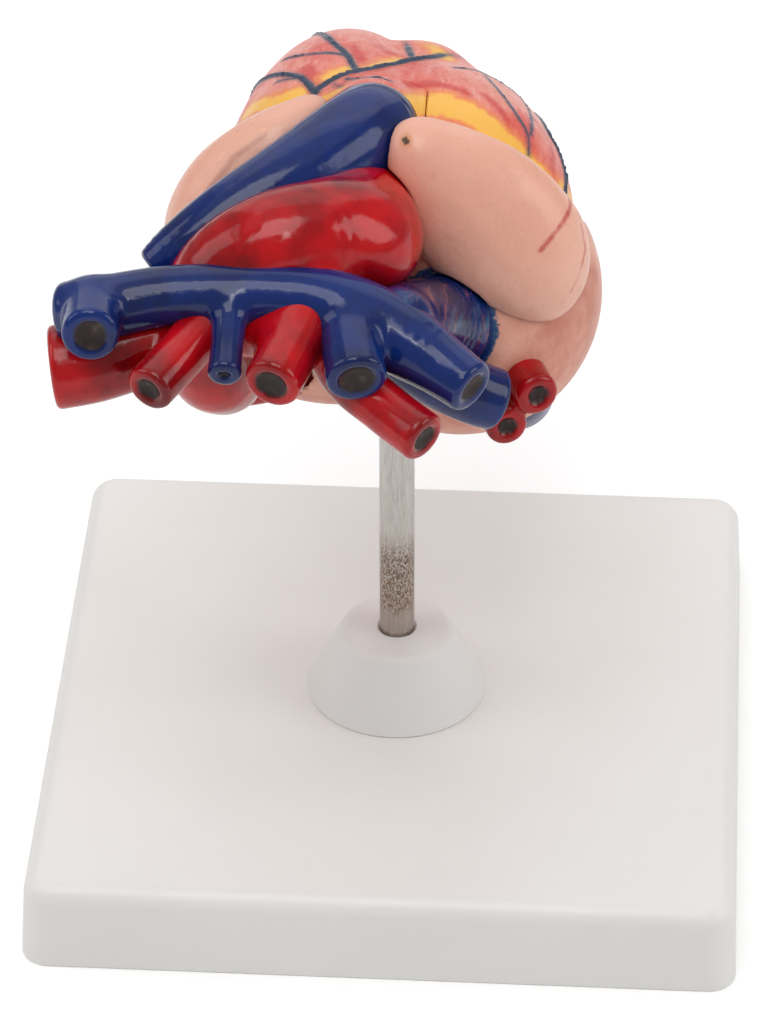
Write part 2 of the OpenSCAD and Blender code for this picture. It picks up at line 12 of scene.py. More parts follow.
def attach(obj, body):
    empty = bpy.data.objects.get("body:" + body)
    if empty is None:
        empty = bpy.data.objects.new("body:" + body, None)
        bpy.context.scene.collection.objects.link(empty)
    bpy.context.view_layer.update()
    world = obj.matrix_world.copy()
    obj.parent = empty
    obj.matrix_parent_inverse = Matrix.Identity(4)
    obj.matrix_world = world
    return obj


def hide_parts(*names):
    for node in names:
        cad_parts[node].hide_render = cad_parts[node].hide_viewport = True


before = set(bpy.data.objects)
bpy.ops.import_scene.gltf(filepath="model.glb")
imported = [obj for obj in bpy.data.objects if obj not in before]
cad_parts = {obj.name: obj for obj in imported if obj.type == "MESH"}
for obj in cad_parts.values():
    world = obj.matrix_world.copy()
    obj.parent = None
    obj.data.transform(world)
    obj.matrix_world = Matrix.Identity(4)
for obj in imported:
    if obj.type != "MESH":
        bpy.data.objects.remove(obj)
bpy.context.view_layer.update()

TILT = math.radians(25)  # of the heart on its rod
HEIGHT = 135.0  # of the heart's origin over the floor
APEX = 72.0
BASE = -12.0
CUT = 12.0  # height z of the cut face
ROOT_X, ROOT_Y = 5.5, 2.0  # the front part keeps clear of the great vessels' roots up to here
TOP_Z = 179.7  # nothing of the heart stands higher over the floor
PART_GAP = 0.15  # between the front part and the rest
FLAP_GAP = 0.54  # between the right auricle and what lies under it
CHAMBER_WALL = 1.8  # least wall between a ventricle's chamber and the skin
LV_HALF, RV_HALF, GROOVE = (27.5, 36), (33.5, 35), 9
SEPTUM = 8
MITRAL_R, TRICUSPID_R = 7.9, 8.9
SLEEVE_R, SLEEVE_TOP = 6.5, 125
MAGNET_R, PIN_R = 2.6, 1.8
END_OVER, END_ROUND, END_RIM, DISH_DEPTH = 0.8, 1.6, 2.2, 1.3  # of a vessel's cut end
VESSEL_BLEND = 2.5  # between vessels of one casting
FAR = 9.0  # value of a painted field away from its strokes

# ---------------- routes and bulbs
# A route's stations are x, y, z and radius. A bulb is a centre and its radii. The solids have the same ones,
# apart from RIGHT_SUBCLAVIAN, TRUNK, CROSS_VEIN and LEFT_LOBES, which follow the photo more closely here.

AORTA = [[-6, -3, 18, 10.5], [-7.5, -15, 17, 11.5], [-8, -30, 15.5, 12], [-14, -41, 15, 12],
         [-24, -45, 13, 11.5], [-34, -45, 7, 10.5], [-39, -41, -4, 10], [-38, -32, -15, 9.5],
         [-36.5, -24, -18.5, 9], [-36, -17, -20, 8.6]]
BRACHIOCEPHALIC = [[-14, -46, 8, 7], [-17, -56, -2, 6.4], [-22, -70, -12, 6]]
RIGHT_SUBCLAVIAN = [[-15, -50, 2, 6], [-8, -57, -11, 5.6], [1, -61, -18, 5.4], [9.5, -66.5, -23, 5.4]]
LEFT_CAROTID = [[-33, -46, 4, 6], [-40, -58, -6, 5.4], [-47.5, -70, -14, 5.2]]
LEFT_SUBCLAVIAN = [[-36, -44, -2, 8], [-50, -50, -8.5, 8], [-60, -53, -11.5, 8.6], [-69, -54, -13, 9]]
TRUNK = [[-6, -2, 32.4, 11], [-6.5, -9, 32.5, 11], [-11, -17, 30.5, 10.5], [-22, -27, 24, 9.2],
         [-35, -33, 17, 7.4], [-44, -36, 11, 5.9], [-50, -37.5, 6.5, 4.3]]
RIGHT_ARTERY = [[-3, -27, -7, 7.5], [9, -25, -16, 7.2], [18, -22, -21, 7], [23, -20, -23, 6.8]]
CAVA = [[3, -51, -2, 8], [3.5, -43, -3, 8.3], [5, -32, -4, 8.7], [8, -22, -6, 9.6], [10.5, -14, -8, 11.5]]
CROSS_VEIN = [[-66.5, -55.5, -1, 6.6], [-59.5, -56, 0.2, 6.9], [-47, -55, 3, 6.4], [-33, -54, 4, 6.4],
              [-18, -53, 3.5, 7], [-7, -53, 0.5, 8], [3, -54, -4, 8], [12, -57, -9, 6.6], [19, -61, -13, 5.8]]
LEFT_JUGULAR = [[-61, -58, 1, 6.2], [-60.5, -64, -1, 6], [-60, -70, -3, 6]]
THYROID_VEIN = [[-32, -57, 1, 4], [-32, -63, -5, 3.4], [-32, -69, -10.5, 3.6]]
RIGHT_JUGULAR = [[-7, -56, -2, 6.5], [-6, -63, -6, 6.2], [-4.5, -69, -10.5, 6.4]]
LOWER_CAVA = [[25, 6, -20, 8.5], [26, 15, -26, 8.5], [26.5, 22, -29, 8.5]]
RIGHT_UPPER_VEIN = [[27, -4, -18, 5.5], [30, -11, -21, 5], [32, -15, -22.5, 4.8]]
RIGHT_LOWER_VEIN = [[22, -3, -26, 5.2], [24, -9, -28.5, 4.8], [25.5, -13, -30, 4.6]]
LEFT_UPPER_VEIN = [[-26, -5, -12, 4.8], [-36, -3.5, -13, 4.6], [-45.5, -2.5, -14, 4.4]]
LEFT_LOWER_VEIN = [[-22, -3, -22, 4.8], [-30, -2, -24.5, 4.6], [-37.5, -1, -26, 4.4]]
CONUS = [[4, 26, 24, 13], [-1, 14, 29, 13.4], [-5, 4, 31.8, 12.7], [-6, -3.8, 32.5, 12]]
LEFT_OUTFLOW = [[-17, 16, 15, 7.5], [-10, 5, 16.5, 7.5], [-6.4, -5, 18, 7.5]]
RIGHT_OUTFLOW = [[17, 20, 20, 8], [6, 12, 28, 8], [-4, 4, 31.5, 7.8], [-6.2, -5, 32.5, 7.6]]

RIGHT_LOBES = [[[31, -9, 6.5], [11, 9, 14]], [[20.5, -15, 15], [14.5, 8, 16]],
               [[10.5, -18, 24.5], [9.5, 6.5, 11]], [[3.8, -20, 30.5], [5.2, 5, 6.3]]]
LEFT_LOBES = [[[-42.5, -8, 5], [6, 8, 7.5]], [[-42.5, -9.5, 12], [6.4, 8.6, 7.2]],
              [[-38.5, -10, 20], [6.6, 8, 7]], [[-32, -10, 26], [6.6, 7.4, 6.6]],
              [[-25, -9.5, 31.5], [5.6, 6.4, 5.6]], [[-18.5, -7, 36.6], [3.2, 4.6, 3]]]
ATRIA = [[[14, 9, -4], [31, 25.5, 32]], [[-14, 5, -8], [28, 20, 21.5]]]
LEFT_VENTRICLE = [[-19, 30, 14], [14, 27, 18]]
RIGHT_VENTRICLE = [[19, 30, 13], [14.5, 23, 18]]
LEFT_ATRIUM = [[-21, -3, -14], [12, 10, 11]]
RIGHT_ATRIUM = [[23, 0, -8], [13, 11, 13]]
MAGNETS = [[-36.8, 24], [31, 7], [-13, 63.5]]
PINS = [[-0.5, 22], [-0.5, 40]]

# forms that only the looks have
APEX_SWELL = [[3, 37, 37.5], [11, 13, 10.5]]
ARTERY_BULGES = [[[-4, -33, 12], [10, 13, 9.5]], [[-25, -52, -4], [9, 6, 6]]]
VEIN_END = np.array([[-68.5, -55, -1], [-0.98, 0.14, -0.14]])
LEFT_SEAM = [[-43.4, -19, 15], [-42.1, -19.1, 18.7], [-38.9, -18.8, 23.3], [-35.2, -17.9, 28.3],
             [-29.1, -16.9, 32.9]]


def to_row(p):
    """Heart frame in millimetres to the row frame in metres."""
    p = np.atleast_2d(p)
    c, s = math.cos(TILT), math.sin(TILT)
    return np.c_[p[:, 0], p[:, 1] * c + p[:, 2] * s, HEIGHT - p[:, 1] * s + p[:, 2] * c] / 1000


def curve_point(a, b, c, d, t):
    """Catmull-Rom between b and c, at t from 0 to 1."""
    return (2 * b + (c - a) * t + (2 * a - 5 * b + 4 * c - d) * t * t + (3 * b - a - 3 * c + d) * t ** 3) / 2


def curve_slope(a, b, c, d, t):
    return ((c - a) + 2 * (2 * a - 5 * b + 4 * c - d) * t + 3 * (3 * b - a - 3 * c + d) * t * t) / 2


def spline(stations, steps=6):
    """Dense stations on the smooth curve through the given ones."""
    s = np.array(stations, float)
    e = len(s) - 1
    out = [curve_point(s[max(i - 1, 0)], s[i], s[i + 1], s[min(i + 2, e)], j / steps)
           for i in range(e) for j in range(steps)]
    return np.array(out + [s[e]])


def extent(s):
    """Corners of the box round stations and their radii."""
    return (s[:, :3] - s[:, 3:]).min(0), (s[:, :3] + s[:, 3:]).max(0)


# ---------------- distance fields

def smooth_min(a, b, k):
    h = np.maximum(k - np.abs(a - b), 0) / k
    return np.minimum(a, b) - h * h * k / 4


def smooth_max(a, b, k):
    return -smooth_min(-a, -b, k)


def ellipsoid(p, centre, radii):
    r = np.array(radii, float)
    q = (p - np.array(centre, float)) / r
    k0 = np.linalg.norm(q, axis=1)
    k1 = np.linalg.norm(q / r, axis=1) + 1e-9
    return k0 * (k0 - 1) / k1


def along(p, stations):
    """Distance to a tube of varying radius along dense stations."""
    out = np.full(len(p), 1e9)
    for a, b in zip(stations[:-1], stations[1:]):
        ba = b[:3] - a[:3]
        pa = p - a[:3]
        h = np.clip(pa @ ba / (ba @ ba), 0, 1)
        d = np.linalg.norm(pa - h[:, None] * ba, axis=1) - (a[3] + (b[3] - a[3]) * h)
        np.minimum(out, d, out=out)
    return out


def near(p, lo, hi, field, pad=7.0):
    """The field inside a padded box, and the distance to that box elsewhere."""
    lo, hi = np.array(lo, float), np.array(hi, float)
    away = np.linalg.norm(np.maximum(np.maximum(lo - p, p - hi), 0), axis=1)
    out = away + 0.5
    m = away < pad
    if m.any():
        out[m] = field(p[m])
    return out


def tube(p, route):
    s = spline(route)
    return near(p, *extent(s), lambda q: along(q, s))


def smooth_tube(p, route):
    """Distance to a tube of varying radius round the smooth curve itself, with no facets.

    The nearest of a few straight pieces starts the search, and three steps along the curve end it."""
    s = np.array(route, float)
    e = len(s) - 1
    steps = 4
    dense = spline(route, steps)
    best, t = np.full(len(p), 1e9), np.zeros(len(p))
    for k, (a, b) in enumerate(zip(dense[:-1], dense[1:])):
        ba = b[:3] - a[:3]
        h = np.clip((p - a[:3]) @ ba / (ba @ ba), 0, 1)
        d = np.linalg.norm(p - a[:3] - h[:, None] * ba, axis=1) - a[3] - (b[3] - a[3]) * h
        t = np.where(d < best, (k + h) / steps, t)
        best = np.minimum(d, best)
    low, high = np.clip(t - 0.6 / steps, 0, e), np.clip(t + 0.6 / steps, 0, e)
    for _ in range(3):
        i = np.minimum(t.astype(int), e - 1)
        u = (t - i)[:, None]
        ends = s[np.maximum(i - 1, 0)], s[i], s[i + 1], s[np.minimum(i + 2, e)]
        at, way = curve_point(*ends, u), curve_slope(*ends, u)
        step = ((p - at[:, :3]) * way[:, :3]).sum(1) / (way[:, :3] ** 2).sum(1)
        t = np.clip(t + step, low, high)
    return np.linalg.norm(p - at[:, :3], axis=1) - at[:, 3]


def vessel(p, route):
    return near(p, *extent(spline(route)), lambda q: smooth_tube(q, route))


def heading(route):
    """The last station of a route, and the way it points."""
    s = spline(route)
    d = s[-1, :3] - s[-3, :3]
    return s[-1], d / np.linalg.norm(d)


def end_place(p, route):
    """The route's end station, and the points' depth past it and distance from its axis."""
    e, n = heading(route)
    depth = (p - e[:3]) @ n
    return e, depth, np.linalg.norm(p - e[:3] - depth[:, None] * n, axis=1)


def cut_end(p, d, route):
    """A tube ended flat with a rounded rim and a shallow dish."""
    e, depth, off = end_place(p, route)
    here = off < e[3] + 3
    flat = np.where(here & (depth > -3), depth - END_OVER, -1e3)
    d = np.where(here & (depth > -8), smooth_max(d, np.maximum(flat, -50), END_ROUND), d)
    hollow = ellipsoid(np.c_[off, depth - END_OVER, 0 * off], [0, 0.4, 0],
                       [e[3] - END_RIM, DISH_DEPTH + 0.4, 9])
    return np.where(here & (depth > -4), smooth_max(d, -hollow, 0.7), d)


def union(fields, k):
    out = fields[0]
    for f in fields[1:]:
        out = smooth_min(out, f, k)
    return out


def lobes(p, chain):
    """An auricle: a chain of ellipsoids that melt into one another."""
    return union([ellipsoid(p, a[:3], a[3:]) for a in spline([a + b for a, b in chain], 4)], 3.5)


def swell(y, top, mid, end):
    """Share of the full section at y, widest at mid and round at top and end."""
    up = np.maximum(1 - np.abs(np.minimum((mid - y) / (mid - top), 1.0).clip(0)) ** 2.6, 0.001) ** 0.45
    down = np.sqrt(np.maximum(1 - ((y - mid) / (end - mid)).clip(0) ** 2, 0.0004))
    return np.where(y < mid, up, down)


def reach(cx, cz, a, b, ux, uz):
    """How far an ellipse round (cx, cz) reaches from the pole in direction (ux, uz)."""
    u0, u1, v0, v1 = ux / a, uz / b, cx / a, cz / b
    square = u0 * u0 + u1 * u1
    dot = u0 * v0 + u1 * v1
    rest = dot * dot - square * (v0 * v0 + v1 * v1 - 1)
    return np.where(rest < 0, 0, (dot + np.sqrt(np.maximum(rest, 0))) / square)


def section(y, ux, uz, px, pz):
    """Radius of the ventricles from the pole, in a direction across."""
    t = np.maximum(y, 0) / APEX
    left = swell(y, BASE - 2, 15, APEX)
    right = swell(y, BASE - 2, 13, APEX - 8)
    cx, cz = 6.5 - 5.5 * t - px, 7.5 + 11.5 * t - pz
    a = reach(0 * y, 0 * y, LV_HALF[0] * left, LV_HALF[1] * left, ux, uz)
    b = reach(cx, cz, RV_HALF[0] * right, RV_HALF[1] * right, ux, uz)
    k = GROOVE * left
    h = np.maximum(k - np.abs(a - b), 0) / k
    return np.maximum(a, b) + h * h * k / 4


def pole(y):
    """Where the directions of a section start, in x and z."""
    t = np.maximum(y, 0) / APEX
    return -14.5 + 0.5 * t, 6 + 21 * t


def ventricles(p):
    y = np.clip(p[:, 1], BASE, APEX - 0.02)
    px, pz = pole(y)
    dx, dz = p[:, 0] - px, p[:, 2] - pz
    r = np.hypot(dx, dz) + 1e-6
    ux, uz = dx / r, dz / r
    size = section(y, ux, uz, px, pz)
    y2 = np.clip(y + 0.4, BASE, APEX - 0.02)
    slope = (section(y2, ux, uz, *pole(y2)) - size) / 0.4
    side = (r - size) / np.sqrt(1 + slope ** 2)
    return smooth_max(side, np.maximum(BASE - p[:, 1], p[:, 1] - APEX), 2.0)


def ripple(p, size, seed):
    """Smooth hand-made unevenness, between -1 and 1."""
    rng = np.random.default_rng(seed)
    out = 0
    for _ in range(6):
        d = rng.normal(size=3)
        out = out + np.sin(p @ (d / np.linalg.norm(d) / size * rng.uniform(0.7, 1.6)) + rng.uniform(0, 6.28))
    return out / 6


# ---------------- fields to meshes

EDGES = [(a, b) for a, b in itertools.combinations(range(8), 2) if bin(a ^ b).count("1") == 1]
CORNERS = np.array([[c & 1, c >> 1 & 1, c >> 2 & 1] for c in range(8)])


def sample(field, lo, hi, h, block=6):
    """The field on a grid, worked out in full only in blocks near the surface."""
    lo = np.array(lo, float) - 2.5 * h
    nb = np.ceil((np.array(hi, float) + 2.5 * h - lo) / (h * block)).astype(int)
    b = np.stack(np.meshgrid(*[np.arange(n) for n in nb], indexing="ij"), -1).reshape(-1, 3)
    mid = field(lo + (b + 0.5) * block * h)
    active = b[np.abs(mid) < block * h * 1.05 + 0.4]
    v = np.repeat(np.repeat(np.repeat(mid.reshape(nb), block, 0), block, 1), block, 2).astype(np.float32)
    v = np.pad(v, ((0, 1), (0, 1), (0, 1)), mode="edge")
    o = np.stack(np.meshgrid(*[np.arange(block + 1)] * 3, indexing="ij"), -1).reshape(-1, 3)
    for part in np.array_split(active, max(1, len(active) // 1500)):
        idx = part[:, None, :] * block + o[None]
        flat = idx.reshape(-1, 3)
        v[flat[:, 0], flat[:, 1], flat[:, 2]] = field(lo + flat * h)
    return lo, v


def surface(field, lo, hi, h):
    """Surface nets, then two steps onto the true surface. Returns points and quads."""
    lo, v = sample(field, lo, hi, h)
    s = (v < 0)
    size = np.array(s.shape) - 1
    count = sum(s[tuple(slice(k, k + m) for k, m in zip(c, size))].astype(np.int8) for c in CORNERS)
    cells = np.argwhere((count > 0) & (count < 8))
    name = np.full(count.shape, -1, np.int32)
    name[tuple(cells.T)] = np.arange(len(cells))
    val = np.stack([v[tuple((cells + c).T)] for c in CORNERS], 1)
    total, hits = np.zeros((len(cells), 3)), np.zeros(len(cells))
    for a, b in EDGES:
        m = (val[:, a] < 0) != (val[:, b] < 0)
        t = np.where(m, val[:, a] / np.where(m, val[:, a] - val[:, b], 1), 0)
        total += np.where(m[:, None], CORNERS[a] + t[:, None] * (CORNERS[b] - CORNERS[a]), 0)
        hits += m
    pts = lo + (cells + total / hits[:, None]) * h
    quads = []
    for axis in range(3):
        u, w = (axis + 1) % 3, (axis + 2) % 3
        a = np.take(s, range(s.shape[axis] - 1), axis)
        b = np.take(s, range(1, s.shape[axis]), axis)
        e = np.argwhere(a != b)
        e = e[(e[:, u] > 0) & (e[:, w] > 0) & (e[:, u] < count.shape[u]) & (e[:, w] < count.shape[w])]
        du, dw = np.eye(3, dtype=int)[u], np.eye(3, dtype=int)[w]
        ring = np.stack([name[tuple((e - i * du - j * dw).T)] for i, j in ((1, 1), (0, 1), (0, 0), (1, 0))], 1)
        flip = ~a[tuple(e.T)]
        ring[flip] = ring[flip][:, ::-1]
        quads.append(ring)
    quads = np.concatenate(quads)
    quads = quads[(quads >= 0).all(1)]
    for _ in range(2):
        f0 = field(pts)
        g = np.stack([field(pts + d) - f0 for d in np.eye(3) * 0.05], 1) / 0.05
        step = f0[:, None] * g / np.maximum((g * g).sum(1), 0.2)[:, None]
        pts = pts - np.clip(step, -0.5 * h, 0.5 * h)
    return pts, quads


def relaxed(pts, quads, rounds):
    """The points smoothed without shrinking."""
    a = quads.ravel()
    b = np.roll(quads, -1, axis=1).ravel()
    count = np.bincount(a, minlength=len(pts)) + np.bincount(b, minlength=len(pts))
    for i in range(2 * rounds):
        total = np.stack([np.bincount(a, pts[b, k], len(pts)) + np.bincount(b, pts[a, k], len(pts))
                          for k in range(3)], 1)
        pts = pts + (0.6 if i % 2 == 0 else -0.62) * (total / count[:, None] - pts)
    return pts


def placed(name, data):
    """A new object in the scene."""
    obj = bpy.data.objects.new(name, data)
    bpy.context.scene.collection.objects.link(obj)
    return obj


def mesh_object(name, pts, faces, material, body, node, local=True, fields=None):
    mesh = bpy.data.meshes.new(name)
    co = to_row(pts) if local else np.asarray(pts, float)
    faces = np.asarray(faces)
    mesh.vertices.add(len(co))
    mesh.vertices.foreach_set("co", co.astype(np.float32).ravel())
    mesh.loops.add(faces.size)
    mesh.loops.foreach_set("vertex_index", faces.astype(np.int32).ravel())
    mesh.polygons.add(len(faces))
    mesh.polygons.foreach_set("loop_start", np.arange(0, faces.size, faces.shape[1], dtype=np.int32))
    mesh.polygons.foreach_set("loop_total", np.full(len(faces), faces.shape[1], np.int32))
    mesh.update(calc_edges=True)
    mesh.validate()
    mesh.polygons.foreach_set("use_smooth", np.full(len(mesh.polygons), True))
    for key, values in (fields or {}).items():
        mesh.attributes.new(key, "FLOAT", "POINT").data.foreach_set("value", np.asarray(values, np.float32))
    mesh.materials.append(material)
    obj = placed(name, mesh)
    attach(obj, body)
    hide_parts(node)
    return obj


def sculpt(name, field, lo, hi, h, material, body, node, paint, rounds=0):
    pts, quads = surface(field, lo, hi, h)
    if rounds:
        pts = relaxed(pts, quads, rounds)
    obj = mesh_object(name, pts, quads, material, body, node, fields=paint(pts))
    return obj


# ---------------- materials

def material(name, base, rough=0.3, metallic=0.0, coat=0.0, coat_rough=0.05, subsurface=0.0, level=0.5):
    m = bpy.data.materials.new(name)
    m.use_nodes = True
    b = m.node_tree.nodes["Principled BSDF"]
    for key, v in (("Base Color", (*base, 1)), ("Roughness", rough), ("Metallic", metallic),
                   ("Coat Weight", coat), ("Coat Roughness", coat_rough), ("Specular IOR Level", level),
                   ("Subsurface Weight", subsurface)):
        b.inputs[key].default_value = v
    if subsurface:
        b.inputs["Subsurface Radius"].default_value = (1.0, 0.35, 0.2)
        b.inputs["Subsurface Scale"].default_value = 0.003
    return m


def rgb(r, g, b):
    """A colour read as 0 to 255, as linear light."""
    return tuple(((c / 255 + 0.055) / 1.055) ** 2.4 if c > 10 else c / 255 / 12.92 for c in (r, g, b))


class Nodes:
    """Short calls for a material's nodes."""

    def __init__(self, m):
        self.t = m.node_tree
        self.shader = self.t.nodes["Principled BSDF"]

    def new(self, kind, **values):
        n = self.t.nodes.new(kind)
        for key, v in values.items():
            if key in n.inputs:
                if hasattr(v, "is_output"):
                    self.t.links.new(v, n.inputs[key])
                else:
                    n.inputs[key].default_value = v
            else:
                setattr(n, key, v)
        return n

    def link(self, a, b):
        self.t.links.new(a, b)

    def position(self, scale=(1000, 1000, 1000)):
        """The object's coordinates, in millimetres unless another scale is asked for."""
        return self.scaled(self.new("ShaderNodeTexCoord").outputs["Object"], scale)

    def scaled(self, v, scale):
        n = self.t.nodes.new("ShaderNodeVectorMath")
        n.operation = "MULTIPLY"
        self.link(v, n.inputs[0])
        n.inputs[1].default_value = scale
        return n.outputs[0]

    def noise(self, vector, scale, detail=3.0, rough=0.5, distort=0.0):
        n = self.new("ShaderNodeTexNoise", Scale=scale, Detail=detail, Roughness=rough, Distortion=distort)
        self.link(vector, n.inputs["Vector"])
        return n.outputs["Fac"]

    def math(self, op, a, b=0.0, clamp=False):
        n = self.t.nodes.new("ShaderNodeMath")
        n.operation = op
        n.use_clamp = clamp
        for i, v in enumerate((a, b)):
            if hasattr(v, "is_output"):
                self.link(v, n.inputs[i])
            else:
                n.inputs[i].default_value = v
        return n.outputs[0]

    def ramp(self, value, low, high, to_low=0.0, to_high=1.0):
        n = self.new("ShaderNodeMapRange", interpolation_type="SMOOTHSTEP")
        self.link(value, n.inputs["Value"])
        for key, v in zip(("From Min", "From Max", "To Min", "To Max"), (low, high, to_low, to_high)):
            n.inputs[key].default_value = v
        return n.outputs["Result"]

    def field(self, name):
        return self.new("ShaderNodeAttribute", attribute_name=name, attribute_type="GEOMETRY").outputs["Fac"]

    def mix(self, factor, a, b):
        n = self.t.nodes.new("ShaderNodeMix")
        n.data_type = "RGBA"
        for socket, v in ((n.inputs["Factor"], factor), (n.inputs[6], a), (n.inputs[7], b)):
            if hasattr(v, "is_output"):
                self.link(v, socket)
            else:
                socket.default_value = (*v, 1) if isinstance(v, tuple) else v
        return n.outputs[2]

    def bump(self, height, strength, distance=0.001):
        n = self.new("ShaderNodeBump", Strength=strength, Distance=distance)
        self.link(height, n.inputs["Height"])
        self.link(n.outputs["Normal"], self.shader.inputs["Normal"])

    def color(self, c):
        self.link(c, self.shader.inputs["Base Color"])

    def rough(self, r):
        self.link(r, self.shader.inputs["Roughness"])


RED = rgb(198, 9, 18)
DARK_RED = rgb(104, 4, 10)
BLUE = rgb(12, 42, 112)
DARK_BLUE = rgb(12, 24, 66)
PURPLE = rgb(140, 84, 96)
TEAL = rgb(44, 84, 122)
PEACH = rgb(237, 174, 151)
PEACH_PALE = rgb(243, 188, 166)
PEACH_DEEP = rgb(202, 122, 102)
BROWN = rgb(38, 20, 20)
GREY_BROWN = rgb(92, 74, 68)
CORAL = rgb(226, 98, 84)
PINK = rgb(236, 146, 130)
PALE_PINK = rgb(240, 178, 168)
YELLOW = rgb(250, 190, 84)
ORANGE = rgb(238, 140, 84)
VEIN = rgb(62, 74, 96)
STREAK = rgb(204, 40, 42)
INSIDE = rgb(206, 92, 80)
CUT_FACE = rgb(228, 150, 132)


def gloss(n, p, low, high, matt=None):
    """Brush marks and small pits of lacquer, and dull paint where matt is 1."""
    r = n.ramp(n.noise(p, 0.45, 5, 0.7), 0.3, 0.8, low, high)
    n.rough(n.math("MAXIMUM", r, n.math("MULTIPLY", matt, 0.55)) if matt else r)


def vessel_paint(name, base, deep):
    """Lacquer over brushed paint, with dull brown in the dish of a cut end."""
    m = material(name, base, rough=0.16, coat=0.12, coat_rough=0.03, level=0.35)
    n = Nodes(m)
    p = n.position()
    c = n.mix(n.ramp(n.noise(p, 0.05, 4, 0.6), 0.35, 0.75), base, deep)
    c = n.mix(n.ramp(n.noise(p, 0.5, 6, 0.75), 0.62, 0.78, 0, 0.35), c, deep)
    from_dish = n.math("ADD", n.field("dish"), n.noise(p, 0.5, 2))
    c = n.mix(n.ramp(from_dish, 0.85, 0.25), c, deep)
    dish = n.ramp(from_dish, 0.3, -0.1)
    n.color(n.mix(dish, c, n.mix(n.ramp(n.noise(p, 0.35, 3, 0.6), 0.5, 0.8), BROWN, GREY_BROWN)))
    gloss(n, p, 0.09, 0.24, dish)
    fine = n.math("MULTIPLY", n.noise(p, 1.2, 3, 0.6), 0.1)
    n.bump(n.math("ADD", n.noise(p, 0.16, 2, 0.5), fine), 0.16, 0.0012)
    return m


def cava_paint(name):
    """Blue brushed thinly over purple and teal."""
    m = vessel_paint(name, BLUE, DARK_BLUE)
    n = Nodes(m)
    p = n.scaled(n.position(), (1.0, 0.22, 0.5))
    full = n.shader.inputs["Base Color"].links[0].from_socket
    c = n.mix(n.ramp(n.noise(p, 0.17, 4, 0.6, 0.4), 0.48, 0.62), full, TEAL)
    c = n.mix(n.ramp(n.noise(p, 0.26, 4, 0.65, 0.6), 0.52, 0.64, 0, 0.85), c, PURPLE)
    n.color(c)
    return m


def flesh_paint(name):
    """Peach paint of the auricles, with red strokes and a pin's mark."""
    m = material(name, PEACH, rough=0.34, coat=0.15, coat_rough=0.1, subsurface=0.05, level=0.4)
    n = Nodes(m)
    p = n.position()
    c = n.mix(n.ramp(n.noise(p, 0.045, 3, 0.5), 0.35, 0.75), PEACH, PEACH_PALE)
    c = n.mix(n.ramp(n.noise(p, 0.11, 5, 0.7), 0.56, 0.78, 0, 0.3), c, PEACH_DEEP)
    c = n.mix(n.ramp(n.noise(p, 2.2, 2, 0.5), 0.79, 0.84, 0, 0.5), c, BROWN)
    red_line = n.math("ADD", n.field("red"), n.math("MULTIPLY", n.noise(p, 0.45, 3, 0.6), 1.0))
    c = n.mix(n.ramp(red_line, 0.95, 0.1, 0, 0.85), c, rgb(196, 74, 74))
    c = n.mix(n.ramp(n.field("pin"), 1.6, -0.4, 0, 0.7), c, rgb(217, 136, 74))
    c = n.mix(n.ramp(n.math("ADD", n.field("pin"), n.noise(p, 1.1, 2)), 0.7, 0.1), c, rgb(84, 66, 48))
    n.color(c)
    gloss(n, p, 0.26, 0.42)
    fine = n.math("MULTIPLY", n.noise(p, 1.4, 3, 0.6), 0.1)
    n.bump(n.math("ADD", n.noise(p, 0.2, 3, 0.5), fine), 0.4, 0.001)
    return m


